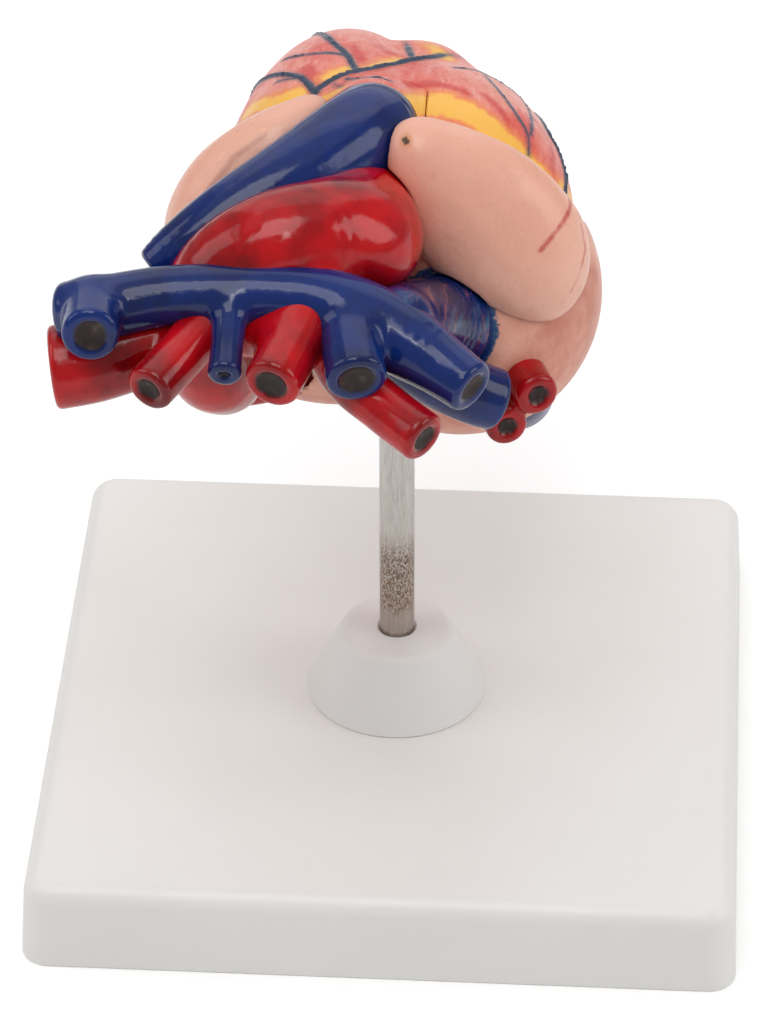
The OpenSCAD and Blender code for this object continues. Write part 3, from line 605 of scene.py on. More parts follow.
def muscle_paint(name):
    """Muscle with fat, veins and red strokes outside, flesh round the atria, and the opened inside."""
    m = material(name, CORAL, rough=0.36, coat=0.12, coat_rough=0.1, subsurface=0.03, level=0.35)
    n = Nodes(m)
    p = n.position()
    fine = n.noise(n.scaled(p, (1.0, 0.16, 1.0)), 0.75, 4, 0.65, 0.8)
    broad = n.noise(n.scaled(p, (1.0, 0.5, 1.0)), 0.085, 4, 0.6, 0.5)
    c = n.mix(n.ramp(broad, 0.36, 0.62), CORAL, PINK)
    c = n.mix(n.ramp(fine, 0.52, 0.7, 0, 0.6), c, PALE_PINK)
    c = n.mix(n.ramp(fine, 0.44, 0.3, 0, 0.5), c, STREAK)
    red = n.math("ADD", n.field("red"), n.math("MULTIPLY", n.noise(n.scaled(p, (1, 0.4, 1)), 0.4, 4, 0.6), 3.0))
    c = n.mix(n.ramp(red, 2.9, 0.6, 0.0, 0.8), c, STREAK)
    fat = n.math("ADD", n.field("fat"), n.math("MULTIPLY", n.noise(p, 0.3, 4, 0.65), 3.6))
    c = n.mix(n.ramp(fat, 4.2, 1.6, 0, 0.9), c, ORANGE)
    c = n.mix(n.ramp(fat, 2.2, 0.6), c, YELLOW)
    vein = n.math("ADD", n.field("vein"), n.math("MULTIPLY", n.noise(p, 0.6, 3, 0.6), 0.9))
    c = n.mix(n.ramp(vein, 1.5, 0.7, 0, 0.35), c, VEIN)
    c = n.mix(n.ramp(vein, 0.72, 0.36), c, VEIN)
    atrium = n.mix(n.ramp(n.noise(p, 0.05, 4, 0.6), 0.35, 0.75), PEACH, PEACH_DEEP)
    blue = n.math("ADD", n.field("blue"), n.math("MULTIPLY", n.noise(p, 0.3, 5, 0.75), 4.5))
    atrium = n.mix(n.ramp(blue, 3.6, 3.0), atrium, TEAL)
    atrium = n.mix(n.ramp(blue, 2.9, 2.3), atrium, BLUE)
    zone = n.math("ADD", n.field("zone"), n.math("MULTIPLY", n.noise(p, 0.25, 3, 0.6), 2.0))
    c = n.mix(n.ramp(zone, 0.7, 1.3), c, atrium)
    inner = n.mix(n.ramp(fine, 0.35, 0.65), INSIDE, PINK)
    c = n.mix(n.ramp(n.field("inside"), 0.9, 0.5), c, inner)
    c = n.mix(n.ramp(n.field("cut"), 0.55, 0.35), c, CUT_FACE)
    n.color(c)
    gloss(n, p, 0.28, 0.46)
    n.bump(n.math("ADD", n.math("MULTIPLY", fine, 0.4), n.noise(p, 0.2, 3, 0.5)), 0.5, 0.001)
    return m


def moulded(name, base, rough):
    """Injection-moulded plastic with a fine orange peel."""
    m = material(name, base, rough=rough)
    n = Nodes(m)
    p = n.position()
    n.color(n.mix(n.ramp(n.noise(p, 0.02, 3, 0.5), 0.3, 0.8), base, tuple(0.965 * v for v in base)))
    gloss(n, p, rough - 0.06, rough + 0.1)
    waves = n.math("MULTIPLY", n.noise(p, 0.06, 2, 0.5), 3.0)
    n.bump(n.math("ADD", n.noise(p, 1.1, 3, 0.5), waves), 0.14, 0.0004)
    return m


def worn_steel(name, patina=None):
    """Drawn steel with fine scratches, and a speckled band between two heights."""
    m = material(name, (0.60, 0.575, 0.55), rough=0.24, metallic=1.0)
    n = Nodes(m)
    p = n.position()
    scratch = n.noise(n.scaled(p, (1.0, 1.0, 0.05)), 4.0, 4, 0.7)
    c = n.mix(n.ramp(scratch, 0.4, 0.7), (0.62, 0.595, 0.57), (0.47, 0.44, 0.41))
    if patina:
        low, high = patina
        z = n.new("ShaderNodeSeparateXYZ", Vector=p).outputs["Z"]
        band = n.math("MULTIPLY", n.ramp(z, low, low + 5), n.ramp(z, high, high - 9))
        spots = n.ramp(n.noise(n.scaled(p, (1.0, 1.0, 0.5)), 2.6, 5, 0.8), 0.44, 0.56)
        c = n.mix(n.math("MULTIPLY", spots, band), c, rgb(104, 78, 58))
        c = n.mix(n.ramp(z, high, low, 0, 0.35), c, rgb(150, 122, 100))
    n.color(c)
    n.rough(n.ramp(scratch, 0.3, 0.8, 0.18, 0.4))
    n.bump(scratch, 0.12, 0.0002)
    return m


def cast_paint(name, base, shade):
    """Plain paint on the castings inside the heart."""
    m = material(name, base, rough=0.35, coat=0.3)
    n = Nodes(m)
    p = n.position()
    n.color(n.mix(n.ramp(n.noise(p, 0.25, 4, 0.6), 0.35, 0.7), base, shade))
    gloss(n, p, 0.28, 0.45)
    n.bump(n.noise(p, 0.5, 3, 0.5), 0.4, 0.0006)
    return m


plastic = moulded("stand_white", rgb(239, 237, 234), 0.36)
steel = worn_steel("steel")
rod_steel = worn_steel("rod_steel", (42, 68))
red = vessel_paint("artery_red", RED, DARK_RED)
blue = vessel_paint("vein_blue", BLUE, DARK_BLUE)
cava_blue = cava_paint("cava_blue")
flesh = flesh_paint("flesh")
muscle = muscle_paint("muscle")
inner = cast_paint("inner", rgb(212, 96, 84), rgb(190, 66, 60))
ivory = cast_paint("valve_ivory", rgb(232, 216, 186), rgb(222, 190, 160))

# solids that are shown as they are
for m, nodes in ((steel, ("rod_sleeve", "rod_washer", "rod_screw", "locating_pins", "rear_magnets",
                          "front_magnets")),
                 (ivory, ("mitral_valve", "tricuspid_valve", "aortic_valve", "pulmonary_valve")),
                 (inner, ("left_papillary_muscles", "right_papillary_muscles"))):
    for node in nodes:
        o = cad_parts[node]
        o.data.materials.clear()
        o.data.materials.append(m)


# ---------------- painted strokes
# Each is a radius and its points, near the skin.

VEINS = [
    [0.9, [-19.1, 0.1, 38.9], [-19.3, 2.2, 40.2], [-16.6, 4.3, 42.2], [-12.6, 6.6, 44.1], [-8.1, 7.5, 45.0],
     [-3.3, 12.5, 45.6], [1.6, 19.9, 46.0], [7.2, 28.3, 45.5], [12, 37, 43]],
    [0.8, [-19.3, 2.2, 40.2], [-22.7, 8.8, 42.6], [-27.9, 16.6, 42.2], [-32.5, 25.7, 39.6], [-36, 37, 34]],
    [0.5, [-22.7, 8.8, 42.6], [-25.5, 10.9, 42.1], [-29, 14, 41]],
    [0.8, [-10.2, 6.6, 44.6], [-12.9, 16.7, 46.9], [-16.8, 25.3, 48.6], [-20, 38, 48], [-22, 50, 44]],
    [0.6, [-12.9, 16.7, 46.9], [-17.7, 18.8, 47.1], [-23.0, 21.5, 46.2], [-28, 27, 44]],
    [0.7, [1.6, 19.9, 46.0], [0.4, 25.8, 46.7], [-1.8, 38.7, 46.7], [-5, 52, 43], [-8, 62, 38]],
    [0.4, [-15.2, 3.0, 42.2], [-12.7, -3.8, 42.3]],
    [0.6, [-12.4, 3.2, 43.4], [-9.1, -2.1, 44.0], [-4.9, -3.0, 44.1], [-2.6, -3.4, 43.4]],
    [0.6, [10.8, 18.3, 44.7], [13.7, 21.7, 44.2], [17.0, 24.8, 42.7], [20.4, 25.3, 41.2], [24.4, 26.7, 38.3],
     [28, 34, 34]],
    [0.5, [17.6, 21.5, 42.8], [19.4, 15.9, 41.7], [22.8, 9.4, 39.1], [25.4, 5.2, 36.1], [28.0, 2.1, 32.4],
     [28.5, -2.4, 28.4]],
    [0.5, [25.5, 25.8, 37.5], [28.1, 14.1, 35.5], [28.7, 8.0, 34.1], [28.7, 3.0, 32.3]],
    [0.8, [28, 30, 33], [32.1, 17.3, 30.9], [34.2, 15.9, 27.6], [36.2, 10.9, 23.5], [36.7, 3.1, 19.3]],
    # on the back
    [0.9, [30, -4, -18], [12, 14, -26], [-6, 16, -28], [-24, 12, -24], [-38, 6, -12], [-42, 2, 6]],
    [0.8, [2, 15, -28], [0, 32, -20], [-2, 48, -6], [-6, 60, 8]],
    [0.6, [-24, 12, -24], [-30, 28, -14], [-32, 44, 0]],
    [0.6, [24, 8, -24], [28, 24, -12], [26, 40, 0]]
]
RED_STROKES = [
    [1.6, [-22.6, 13.4, 44.3], [-20.7, 9.3, 43.5], [-18.7, 6.2, 42.6]],
    [1.0, [-11.9, 22.0, 48.1], [-10.3, 17.2, 46.9], [-9.1, 12.5, 45.7]],
    [1.2, [1.5, 0.3, 42.4], [4.8, 3.4, 42.2], [8.2, 4.8, 42.3], [14.4, 3.4, 40.9]],
    [0.9, [18.1, 5.6, 40.5], [22.4, 2.3, 36.9], [23.7, 0.1, 34.8], [24.1, -3.1, 31.9]],
    [0.8, [29.0, 12.3, 34.5], [33.2, 9.5, 29.0], [33.8, 1.4, 24.6]],
    [0.9, [-21.7, 2.1, 39.3], [-21.4, 1.8, 39.1]],
    [1.0, [-32.2, 22.0, 39.4], [-35.2, 26.3, 36.1], [-36.1, 26.7, 34.4]],
    [0.9, [-6.8, 26.8, 48.1], [-3.4, 22.1, 47.0], [-1.1, 20.1, 46.4]],
    [1.2, [-30, 40, 42], [-26, 52, 40]], [1.2, [14, 40, 43], [8, 54, 39]], [1.0, [30, 40, 26], [24, 52, 24]],
    [1.2, [-12, 30, -20], [-14, 46, -6]], [1.0, [14, 30, -18], [12, 46, -4]]
]
FAT = [
    [3.4, [2.8, -8.5, 39.4], [8.1, -1.6, 39.3], [13.8, -1.9, 38.0], [16.1, -2.5, 36.8]],
    [3.6, [11.9, -2.2, 38.2], [17.4, -2.9, 36.0], [21.7, -4.1, 32.6], [23.3, -4.7, 30.8]],
    [1.6, [25.6, -2.7, 31.0], [29.2, -2.6, 27.4], [32.8, -1.3, 23.6]],
    [1.8, [35.8, 2.2, 21.0], [38.5, 9.8, 16.4]],
    [2.6, [-35.1, 14.7, 34.0], [-29.2, 5.7, 37.1], [-23.3, 3.2, 39.3]],
    [2.0, [-16.8, 6.3, 43.1], [-12.8, 9.5, 44.8]],
    [1.8, [-7.4, 10.9, 45.5], [-1.8, 17.8, 46.2]],
    [2.4, [3.3, 35.5, 45.6], [7.9, 27.7, 45.3]],
    [2.0, [-17.2, -1.9, 39.2], [-14.1, -4.5, 41.4]],
    [2.2, [30, -2, -19], [12, 15, -27], [-8, 17, -28], [-26, 12, -24], [-40, 5, -10]],
    [1.8, [1, 20, -27], [-1, 40, -13]], [2.0, [-7, 60, 38], [-4, 50, 43]]
]
FLAP_STROKES = [
    [0.5, [37.5, -12.3, 20.4], [37.8, -14.7, 18.8], [36.8, -17.6, 16.8], [33.6, -20.8, 12.4],
     [31.7, -21.5, 10.1]],
    [0.3, [39.3, -12.0, 17.6], [40.8, -13.7, 12.4], [41.3, -13.5, 10.0], [40.9, -14.4, 7.3], [38.4, -15.4, 0.4]]
]
PIN_MARK = [[0.8, [2.2, -25.1, 33.7], [2.5, -25.3, 33.5]]]


def onto_skin(points):
    """The points moved onto the ventricles' skin."""
    q = np.array(points, float)
    for _ in range(6):
        f = heart_mass(q)
        g = np.stack([heart_mass(q + d) - f for d in np.eye(3) * 0.1], 1) / 0.1
        q -= f[:, None] * g / np.maximum((g * g).sum(1), 0.3)[:, None]
    return q


def stations(strokes, skin=True):
    """Strokes as smooth stations [x, y, z, radius]."""
    out = []
    for s in strokes:
        line = spline(s[1:], 3)
        line = onto_skin(line) if skin else line
        out.append(np.c_[line, np.full(len(line), s[0])])
    return out


def strokes_field(p, lines):
    """Distance to the nearest stroke's edge, up to FAR."""
    out = np.full(len(p), FAR)
    for line in lines:
        lo, hi = line[:, :3].min(0) - FAR, line[:, :3].max(0) + FAR
        m = ((p > lo) & (p < hi)).all(1)
        if m.any():
            out[m] = np.minimum(out[m], along(p[m], line))
    return out


def heart_mass(p):
    """Both ventricles and the outflow cone under the pulmonary trunk."""
    return smooth_min(ventricles(p), tube(p, CONUS), 5.0)


def below_top(p, d):
    """Flattened where it would stand higher than the solids."""
    height = HEIGHT - p[:, 1] * math.sin(TILT) + p[:, 2] * math.cos(TILT)
    return smooth_max(d, height - TOP_Z, 0.8)


def skin_with_veins(p):
    """The ventricles with their uneven skin and raised veins."""
    d = heart_mass(p)
    m = np.abs(d) < 4
    if m.any():
        q = p[m]
        rough = smooth_min(d[m], ellipsoid(q, *APEX_SWELL), 5) + 0.4
        rough = rough - 0.3 * ripple(q, 7, 3) - 0.1 * ripple(q, 2.2, 9)
        d[m] = smooth_min(rough, strokes_field(q, VEIN_LINES) + 0.55, 0.8)
    return below_top(p, d)


VEIN_LINES = stations(VEINS)
RED_LINES = stations(RED_STROKES)
FAT_LINES = stations(FAT)
FLAP_LINES = stations(FLAP_STROKES, skin=False)
PIN_LINES = stations(PIN_MARK, skin=False)


# ---------------- heart pieces

def atria(p):
    d = union([ellipsoid(p, c, r) for c, r in ATRIA], 6.0)
    return smooth_max(d, p[:, 2] - CUT, 0.8)


def front_space(p, gap):
    """Below zero in front of the cut face and clear of the great vessels' roots."""
    above = CUT + gap - p[:, 2]
    roots = np.maximum(p[:, 0] - ROOT_X - gap, p[:, 1] - ROOT_Y - gap)
    return smooth_max(above, -roots, 0.25)


def bands(p, chamber, side, front):
    """Bands of muscle that stand on a chamber's wall, one behind the other toward the apex."""
    c, r = np.array(chamber[0], float), np.array(chamber[1], float)
    out = []
    for i in range(1, 5):
        a = np.array([side, 0.4 * i - 0.2, 0.35 * front])
        b = np.array([-0.1 * side, 0.4 * i, 0.9 * front])
        ends = [c + r * a / np.linalg.norm(a), c + r * b / np.linalg.norm(b)]
        out.append(along(p, np.array([[*ends[0], 1.5], [*ends[1], 1.3]])))
    return union(out, 1.5)


def valve_way(p, a, b, r):
    return along(p, np.array([[*a[0], r], [*b[0], r]], float))


def chambers(p):
    wall = heart_mass(p) + CHAMBER_WALL
    lv = smooth_max(ellipsoid(p, *LEFT_VENTRICLE), wall, 1.0)
    rv = smooth_max(smooth_max(ellipsoid(p, *RIGHT_VENTRICLE), wall, 1.0), -(lv - SEPTUM), 1.5)
    d = union([lv, rv, ellipsoid(p, *LEFT_ATRIUM), ellipsoid(p, *RIGHT_ATRIUM),
               valve_way(p, LEFT_ATRIUM, LEFT_VENTRICLE, MITRAL_R),
               valve_way(p, RIGHT_ATRIUM, RIGHT_VENTRICLE, TRICUSPID_R),
               tube(p, LEFT_OUTFLOW), tube(p, RIGHT_OUTFLOW)], 1.0)
    for chamber, side in ((LEFT_VENTRICLE, -1), (RIGHT_VENTRICLE, 1)):
        for front in (-1, 1):
            d = smooth_max(d, -bands(p, chamber, side, front), 1.0)
    return d


def hole(p, spot, r, low, high):
    """A round pocket across the cut face, from z low to high."""
    off = np.hypot(p[:, 0] - spot[0], p[:, 1] - spot[1]) - r
    return np.maximum(off, np.maximum(low - p[:, 2], p[:, 2] - high))


def sleeve_space(p, grow):
    """The rod's sleeve, upright on the row's Z axis."""
    row = to_row(p) * 1000
    off = np.hypot(row[:, 0], row[:, 1]) - SLEEVE_R - grow
    return np.maximum(off, row[:, 2] - SLEEVE_TOP - grow)


def rear_heart(p):
    mass = smooth_max(skin_with_veins(p), -front_space(p, 0), 0.25)
    d = smooth_min(mass, atria(p) - 0.3 * ripple(p, 9, 4), 2.0)
    hollow = smooth_max(chambers(p), -sleeve_space(p, 3), 0.8)
    d = smooth_max(d, -hollow, 0.6)
    d = np.maximum(d, -sleeve_space(p, 0.1))
    for spot in MAGNETS:
        d = np.maximum(d, -hole(p, spot, MAGNET_R, CUT - 2.6, CUT + 2))
    return d


def front_wall(p):
    d = smooth_max(skin_with_veins(p), front_space(p, PART_GAP), 0.25)
    d = smooth_max(d, -chambers(p), 0.6)
    d = smooth_max(d, -(tube(p, TRUNK) - PART_GAP), 0.25)
    for spot in MAGNETS:
        d = np.maximum(d, -hole(p, spot, MAGNET_R, CUT - 2, CUT + PART_GAP + 2.6))
    for spot in PINS:
        d = np.maximum(d, -hole(p, spot, PIN_R, CUT - 2, CUT + PART_GAP + 5.3))
    return d


def under_trunk(p):
    """The trunk's root and the space below it, which the flap leaves as it is lifted."""
    s = spline(TRUNK, 2)[:6]
    out = np.full(len(p), 1e9)
    for drop in np.linspace(0, 11, 5):
        q = s - np.array([0, 0, drop, 0])
        np.minimum(out, along(p, q), out=out)
    return out - PART_GAP


def right_auricle(p):
    d = lobes(p, RIGHT_LOBES) - 0.3 * ripple(p, 9, 5) - 0.08 * ripple(p, 2.5, 8)
    d = smooth_max(d, -(heart_mass(p) - 0.1), 0.5)
    d = smooth_max(d, -np.maximum(heart_mass(p) - 0.3, front_space(p, PART_GAP) * -1), 0.5)
    for below in (atria(p), tube(p, CAVA), tube(p, AORTA[:4]), tube(p, TRUNK[:4])):
        d = smooth_max(d, -(below - FLAP_GAP), 0.5)
    return smooth_max(d, -under_trunk(p), 0.4)


def left_auricle(p):
    d = lobes(p, LEFT_LOBES) - 0.35 * ripple(p, 8, 6) - 0.08 * ripple(p, 2.5, 8)
    seam = along(p, np.array([[*q, 0.8] for q in LEFT_SEAM], float))
    d = smooth_min(d, seam, 0.8)
    return smooth_max(d, -(heart_mass(p) - 0.1), 0.6)


def ended(routes, bore=None):
    """Field of joined vessels, each with its cut end, and bored where it leaves the heart."""
    def field(p):
        d = union([cut_end(p, vessel(p, r), r) for r in routes], VESSEL_BLEND) - 0.12 * ripple(p, 5, 7)
        if routes is ARTERIES:
            d = union([d] + [ellipsoid(p, *b) for b in ARTERY_BULGES], 8)
        if routes is CASTING:
            d = smooth_max(d, (p - VEIN_END[0]) @ VEIN_END[1], 2.5)
        if routes == [TRUNK]:
            d = below_top(p, d)
        return smooth_max(d, -tube(p, bore), 0.4) if bore else d
    return field


def dish_mask(routes):
    """Distance outside the painted dish of the nearest cut end."""
    def paint(p):
        out = np.full(len(p), FAR)
        for r in routes:
            e, depth, off = end_place(p, r)
            here = (depth > -2.5) & (off < e[3] + 1)
            out = np.where(here, np.minimum(out, off - (e[3] - END_RIM - 0.1)), out)
        return {"dish": out}
    return paint


def flap_fields(p):
    return {"red": strokes_field(p, FLAP_LINES), "pin": strokes_field(p, PIN_LINES)}


def no_strokes(p):
    return {"red": np.full(len(p), FAR), "pin": np.full(len(p), FAR)}


def muscle_fields(p, rear=False):
    """What the muscle's paint needs. Its zone is above zero on the atria and below zero on the ventricles."""
    skin = heart_mass(p)
    far = np.full(len(p), FAR)
    inside = np.where(skin < -1.6, np.abs(chambers(p)), FAR)
    cut = np.where(skin < -0.6, np.abs(p[:, 2] - CUT - (0 if rear else PART_GAP)), FAR)
    root = np.abs(p[:, 0] - ROOT_X) + np.maximum(p[:, 1] - ROOT_Y, 0)
    cut = np.minimum(cut, np.where((skin < -0.6) & (p[:, 2] > CUT), root, FAR))
    return {"vein": strokes_field(p, VEIN_LINES), "red": strokes_field(p, RED_LINES),
            "fat": strokes_field(p, FAT_LINES), "inside": inside, "cut": cut,
            "zone": np.clip(skin - 0.8, -FAR, FAR) * 3 if rear else -far,
            "blue": tube(p, CAVA) if rear else far}


H = 0.6  # grid step
sculpt("rear_part", rear_heart, [-46, -22, -38], [47, 74, 46], H, muscle, "heart", "rear_heart",
       lambda p: muscle_fields(p, True))
sculpt("front_part", front_wall, [-44, -14, 11], [41, 74, 53], H, muscle, "front", "front_wall",
       muscle_fields)
sculpt("right_ear", right_auricle, [-4, -27, -9], [44, 1, 39], H, flesh, "front", "right_auricle",
       flap_fields)
sculpt("left_ear", left_auricle, [-53, -20, -5], [-13, 2, 43], H, flesh, "heart", "left_auricle",
       no_strokes)
ARTERIES = [AORTA, BRACHIOCEPHALIC, RIGHT_SUBCLAVIAN, LEFT_CAROTID, LEFT_SUBCLAVIAN]
CASTING = [CROSS_VEIN, LEFT_JUGULAR, THYROID_VEIN, RIGHT_JUGULAR]
# name, routes, paint, solid, and the outflow that bores it where it leaves the heart
for title, routes, colour, node, bore in (
        ("arteries", ARTERIES, red, "aorta", LEFT_OUTFLOW),
        ("trunk", [TRUNK], blue, "pulmonary_trunk", RIGHT_OUTFLOW),
        ("right_branch", [RIGHT_ARTERY], blue, "right_pulmonary_artery", None),
        ("upper_cava", [CAVA], cava_blue, "superior_vena_cava", None),
        ("neck_veins", CASTING, blue, "brachiocephalic_veins", None),
        ("lower_cava", [LOWER_CAVA], blue, "inferior_vena_cava", None),
        ("right_lung_veins", [RIGHT_UPPER_VEIN, RIGHT_LOWER_VEIN], red, "right_pulmonary_veins", None),
        ("left_lung_veins", [LEFT_UPPER_VEIN, LEFT_LOWER_VEIN], red, "left_pulmonary_veins", None)):
    low, high = extent(np.concatenate([np.array(r) for r in routes]))
    sculpt(title, ended(routes, bore), low - 2, high + 2, H * 0.8, colour, "heart", node,
           dish_mask(routes), rounds=4)


# ---------------- stand

def lathe(name, profile, m, body, node):
    """A turned piece from its profile of radii and heights."""
    n = 128
    prof = np.array(profile, float)
    a = np.linspace(0, 2 * math.pi, n, endpoint=False)
    pts = np.concatenate([np.c_[r * np.cos(a), r * np.sin(a), np.full(n, z)] for r, z in prof]) / 1000
    k = np.arange(n)
    faces = np.concatenate([np.c_[i * n + k, i * n + (k + 1) % n, (i + 1) * n + (k + 1) % n, (i + 1) * n + k]
                            for i in range(len(prof) - 1)])
    obj = mesh_object(name, pts, faces, m, body, node, local=False)
    obj.data.set_sharp_from_angle(angle=math.radians(38))
    return obj


def arc(cx, cz, r, a0, a1, n=8):
    return [[cx + r * math.cos(math.radians(a)), cz + r * math.sin(math.radians(a))]
            for a in np.linspace(a0, a1, n)]


def plate_ring(half, corner, z):
    """A square with rounded corners at height z."""
    ring = []
    for sx, sy, a0 in ((1, 1, 0), (-1, 1, 90), (-1, -1, 180), (1, -1, 270)):
        ring += [[*at, z] for at in arc(sx * (half - corner), sy * (half - corner), corner, a0, a0 + 90, 12)]
    return ring


PLATE_W, PLATE_H, DRAFT, CORNER, EDGE, WALL = 160.0, 21.2, 0.9, 6.3, 4.4, 2.8
ROD_R, RIB_T, BOSS_R, ROD_FOOT, WASHER_R = 4.0, 2.2, 9.3, 5.2, 6.8
COLLAR_R, COLLAR_H, COLLAR_TOP_R, COLLAR_EDGE, COLLAR_BORE = 20.5, 16.8, 11.0, 2.5, 4.1
ROD_TOP, SCREW_R, INNER_EDGE, RIB_FOOT = 123, 2.1, 1.5, 0.5

# the plate's shell, from the inner top down to the foot and up outside
rings = [plate_ring(PLATE_W / 2 - WALL, CORNER - INNER_EDGE, 0),
         plate_ring(PLATE_W / 2 - 0.3, CORNER - 0.3, 0), plate_ring(PLATE_W / 2, CORNER, 0.4)]
for a in np.linspace(0, 90, 9):
    ins = EDGE * (1 - math.cos(math.radians(a)))
    z = PLATE_H - EDGE + EDGE * math.sin(math.radians(a))
    rings.append(plate_ring(PLATE_W / 2 - DRAFT - ins, CORNER - ins, z))
under = []
for a in np.linspace(0, 90, 4):
    ins = INNER_EDGE * (1 - math.cos(math.radians(a)))
    z = PLATE_H - WALL - INNER_EDGE + INNER_EDGE * math.sin(math.radians(a))
    under.append(plate_ring(PLATE_W / 2 - WALL - DRAFT - ins, CORNER - INNER_EDGE - ins * 0.9, z))
rings = under[::-1] + rings
n = len(rings[0])
pts = [p for r in rings for p in r]
faces = [(i * n + k, (i + 1) * n + k, (i + 1) * n + (k + 1) % n, i * n + (k + 1) % n)
         for i in range(len(rings) - 1) for k in range(n)]
faces += [tuple(range(n)), tuple((len(rings) - 1) * n + k for k in range(n - 1, -1, -1))]


def add_box(lo, hi):
    """A rib: a box with slightly drawn-in lower edges."""
    at = len(pts)
    for z, ins in ((lo[2], 0.25), (lo[2] + 0.5, 0.0), (hi[2], 0.0)):
        for x, y in ((lo[0], lo[1]), (hi[0], lo[1]), (hi[0], hi[1]), (lo[0], hi[1])):
            thin_x, thin_y = (ins, 0) if hi[0] - lo[0] < hi[1] - lo[1] else (0, ins)
            pts.append([x + (thin_x if x == lo[0] else -thin_x),
                        y + (thin_y if y == lo[1] else -thin_y), z])
    faces.append((at + 3, at + 2, at + 1, at))
    faces.append((at + 8, at + 9, at + 10, at + 11))
    for low in (at, at + 4):
        for k in range(4):
            j = (k + 1) % 4
            faces.append((low + k, low + j, low + 4 + j, low + 4 + k))


def add_turned(profile):
    """A turned form in the plate, such as the boss."""
    n = 64
    at = len(pts)
    turns = [2 * math.pi * k / n for k in range(n)]
    pts.extend([r * math.cos(a), r * math.sin(a), z] for r, z in profile for a in turns)
    for i in range(len(profile) - 1):
        low, high = at + i * n, at + (i + 1) * n
        faces.extend((low + k, low + (k + 1) % n, high + (k + 1) % n, high + k) for k in range(n))


UNDER_TOP = PLATE_H - WALL + 0.1  # just inside the plate's top wall
WASHER_SEAT = 3.7
for sign in (-1, 1):
    start, end = sorted((sign * (BOSS_R - 0.4), sign * (PLATE_W / 2 - WALL - 0.1)))
    add_box((start, -RIB_T / 2, RIB_FOOT), (end, RIB_T / 2, UNDER_TOP))
    add_box((-RIB_T / 2, start, RIB_FOOT), (RIB_T / 2, end, UNDER_TOP))
add_turned([(BOSS_R, UNDER_TOP), (BOSS_R, 0.4), (BOSS_R - 0.4, 0), (WASHER_R, 0), (WASHER_R, WASHER_SEAT),
            (SCREW_R + 0.1, WASHER_SEAT), (SCREW_R + 0.1, ROD_FOOT), (ROD_R + 0.08, ROD_FOOT),
            (ROD_R + 0.08, UNDER_TOP), (BOSS_R, UNDER_TOP)])
mesh = bpy.data.meshes.new("plate")
mesh.from_pydata([(x / 1000, y / 1000, z / 1000) for x, y, z in pts], [], faces)
mesh.validate()
mesh.polygons.foreach_set("use_smooth", np.full(len(mesh.polygons), True))
mesh.set_sharp_from_angle(angle=math.radians(30))
mesh.materials.append(plastic)
plate = placed("plate", mesh)
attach(plate, "stand")
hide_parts("base_plate")

collar_top = PLATE_H + COLLAR_H
lathe("collar_piece", [[COLLAR_BORE, PLATE_H], [COLLAR_R, PLATE_H], [COLLAR_R + 0.3, PLATE_H + 0.4]]
      + arc(COLLAR_TOP_R, collar_top - COLLAR_EDGE, COLLAR_EDGE, 12, 90)
      + [[COLLAR_BORE + 0.5, collar_top], [COLLAR_BORE, collar_top - 0.5], [COLLAR_BORE, PLATE_H]],
      plastic, "stand", "collar")
lathe("rod_piece", [[SCREW_R, 18], [SCREW_R, ROD_FOOT], [ROD_R, ROD_FOOT], [ROD_R, ROD_TOP - 0.6],
                    [ROD_R - 0.6, ROD_TOP], [0.01, ROD_TOP]], rod_steel, "rod_body", "rod")

# ---------------- camera, floor and light

# the photo's camera, solved on the stand
PITCH, YAW, ROLL = math.radians(36.607), math.radians(3.567), math.radians(-0.147)
DISTANCE, SHIFT_RIGHT, SHIFT_UP = 1238.072, -3.75, 56.666
FOCAL_PIXELS, PICTURE_HEIGHT = 5263.373, 1024
back = Vector((math.sin(YAW) * math.cos(PITCH), -math.cos(YAW) * math.cos(PITCH), math.sin(PITCH)))
right = (-back).cross(Vector((0, 0, 1))).normalized()
up = right.cross(-back)
eye = (back * DISTANCE + right * SHIFT_RIGHT + up * SHIFT_UP) / 1000
rolled_right = right * math.cos(ROLL) + up * math.sin(ROLL)
rolled_up = up * math.cos(ROLL) - right * math.sin(ROLL)
cam_data = bpy.data.cameras.new("camera")
cam_data.sensor_fit = "VERTICAL"
cam_data.sensor_height = 36
cam_data.lens = cam_data.sensor_height * FOCAL_PIXELS / PICTURE_HEIGHT
camera = placed("camera", cam_data)
camera.matrix_world = Matrix([[rolled_right[i], rolled_up[i], back[i], eye[i]] for i in range(3)]
                             + [[0, 0, 0, 1]])
bpy.context.scene.camera = camera

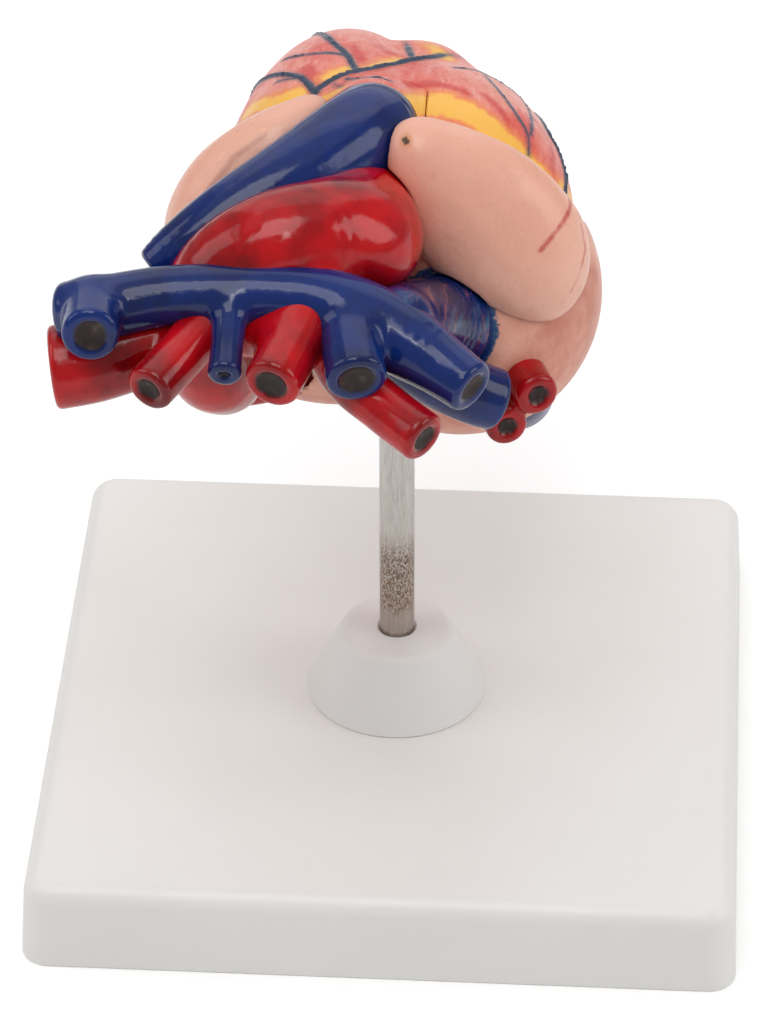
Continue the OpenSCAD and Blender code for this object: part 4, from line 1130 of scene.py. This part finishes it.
# white floor that glows toward the horizon for the camera, and faintly in reflections
GLOW_FROM, GLOW_TO = 0.12, 0.9
floor_mat = bpy.data.materials.new("floor")
floor_mat.use_nodes = True
ft = Nodes(floor_mat)
ft.shader.inputs["Base Color"].default_value = (0.9, 0.9, 0.9, 1)
ft.shader.inputs["Roughness"].default_value = 0.8
ft.shader.inputs["Specular IOR Level"].default_value = 0.2
path = ft.new("ShaderNodeLightPath").outputs
away = ft.new("ShaderNodeVectorMath", operation="LENGTH", Vector=ft.position((1, 1, 1))).outputs["Value"]
seen = ft.math("MULTIPLY", path["Is Camera Ray"], ft.ramp(away, GLOW_FROM, GLOW_TO, 0.2, 0.8))
mirrored = ft.math("MULTIPLY", path["Is Glossy Ray"], ft.ramp(away, GLOW_FROM, GLOW_TO, 0.0, 0.25))
glow = ft.math("ADD", seen, mirrored)
ft.shader.inputs["Emission Color"].default_value = (1, 1, 1, 1)
ft.link(glow, ft.shader.inputs["Emission Strength"])
mesh = bpy.data.meshes.new("floor")
mesh.from_pydata([(-6, -6, 0), (6, -6, 0), (6, 6, 0), (-6, 6, 0)], [], [(0, 1, 2, 3)])
mesh.materials.append(floor_mat)
floor = placed("floor", mesh)


def lamp(name, azimuth, elevation, distance, size, power, size_y=None):
    """An area lamp that faces the heart. Azimuth 0 is on the camera's side, 90 on the right.
    Distance and sizes are in metres."""
    a, e = math.radians(azimuth), math.radians(elevation)
    target = Vector((0, 0, 0.1))
    place = target + distance * Vector((math.sin(a) * math.cos(e), -math.cos(a) * math.cos(e), math.sin(e)))
    d = bpy.data.lights.new(name, "AREA")
    d.energy = power
    d.shape = "RECTANGLE"
    d.size, d.size_y = size, size_y or size
    o = placed(name, d)
    o.location = place
    o.rotation_euler = (target - place).to_track_quat("-Z", "Y").to_euler()


lamp("key", -12, 66, 1.5, 0.8, 6.2)
lamp("right_side", 82, 28, 1.6, 0.9, 6)
lamp("left_side", -85, 35, 1.6, 1.0, 5)
lamp("top", 175, 74, 1.6, 2.0, 4.5)
lamp("back", 180, 38, 1.8, 2.2, 8)
lamp("spark", 6, 48, 1.4, 0.1, 0.8, 0.3)
world = bpy.data.worlds.new("world")
scene = bpy.context.scene
scene.world = world
world.use_nodes = True
world.node_tree.nodes["Background"].inputs["Color"].default_value = (1, 1, 1, 1)
world.node_tree.nodes["Background"].inputs["Strength"].default_value = 0.34

scene.view_settings.view_transform = "Standard"
bpy.context.view_layer.update()
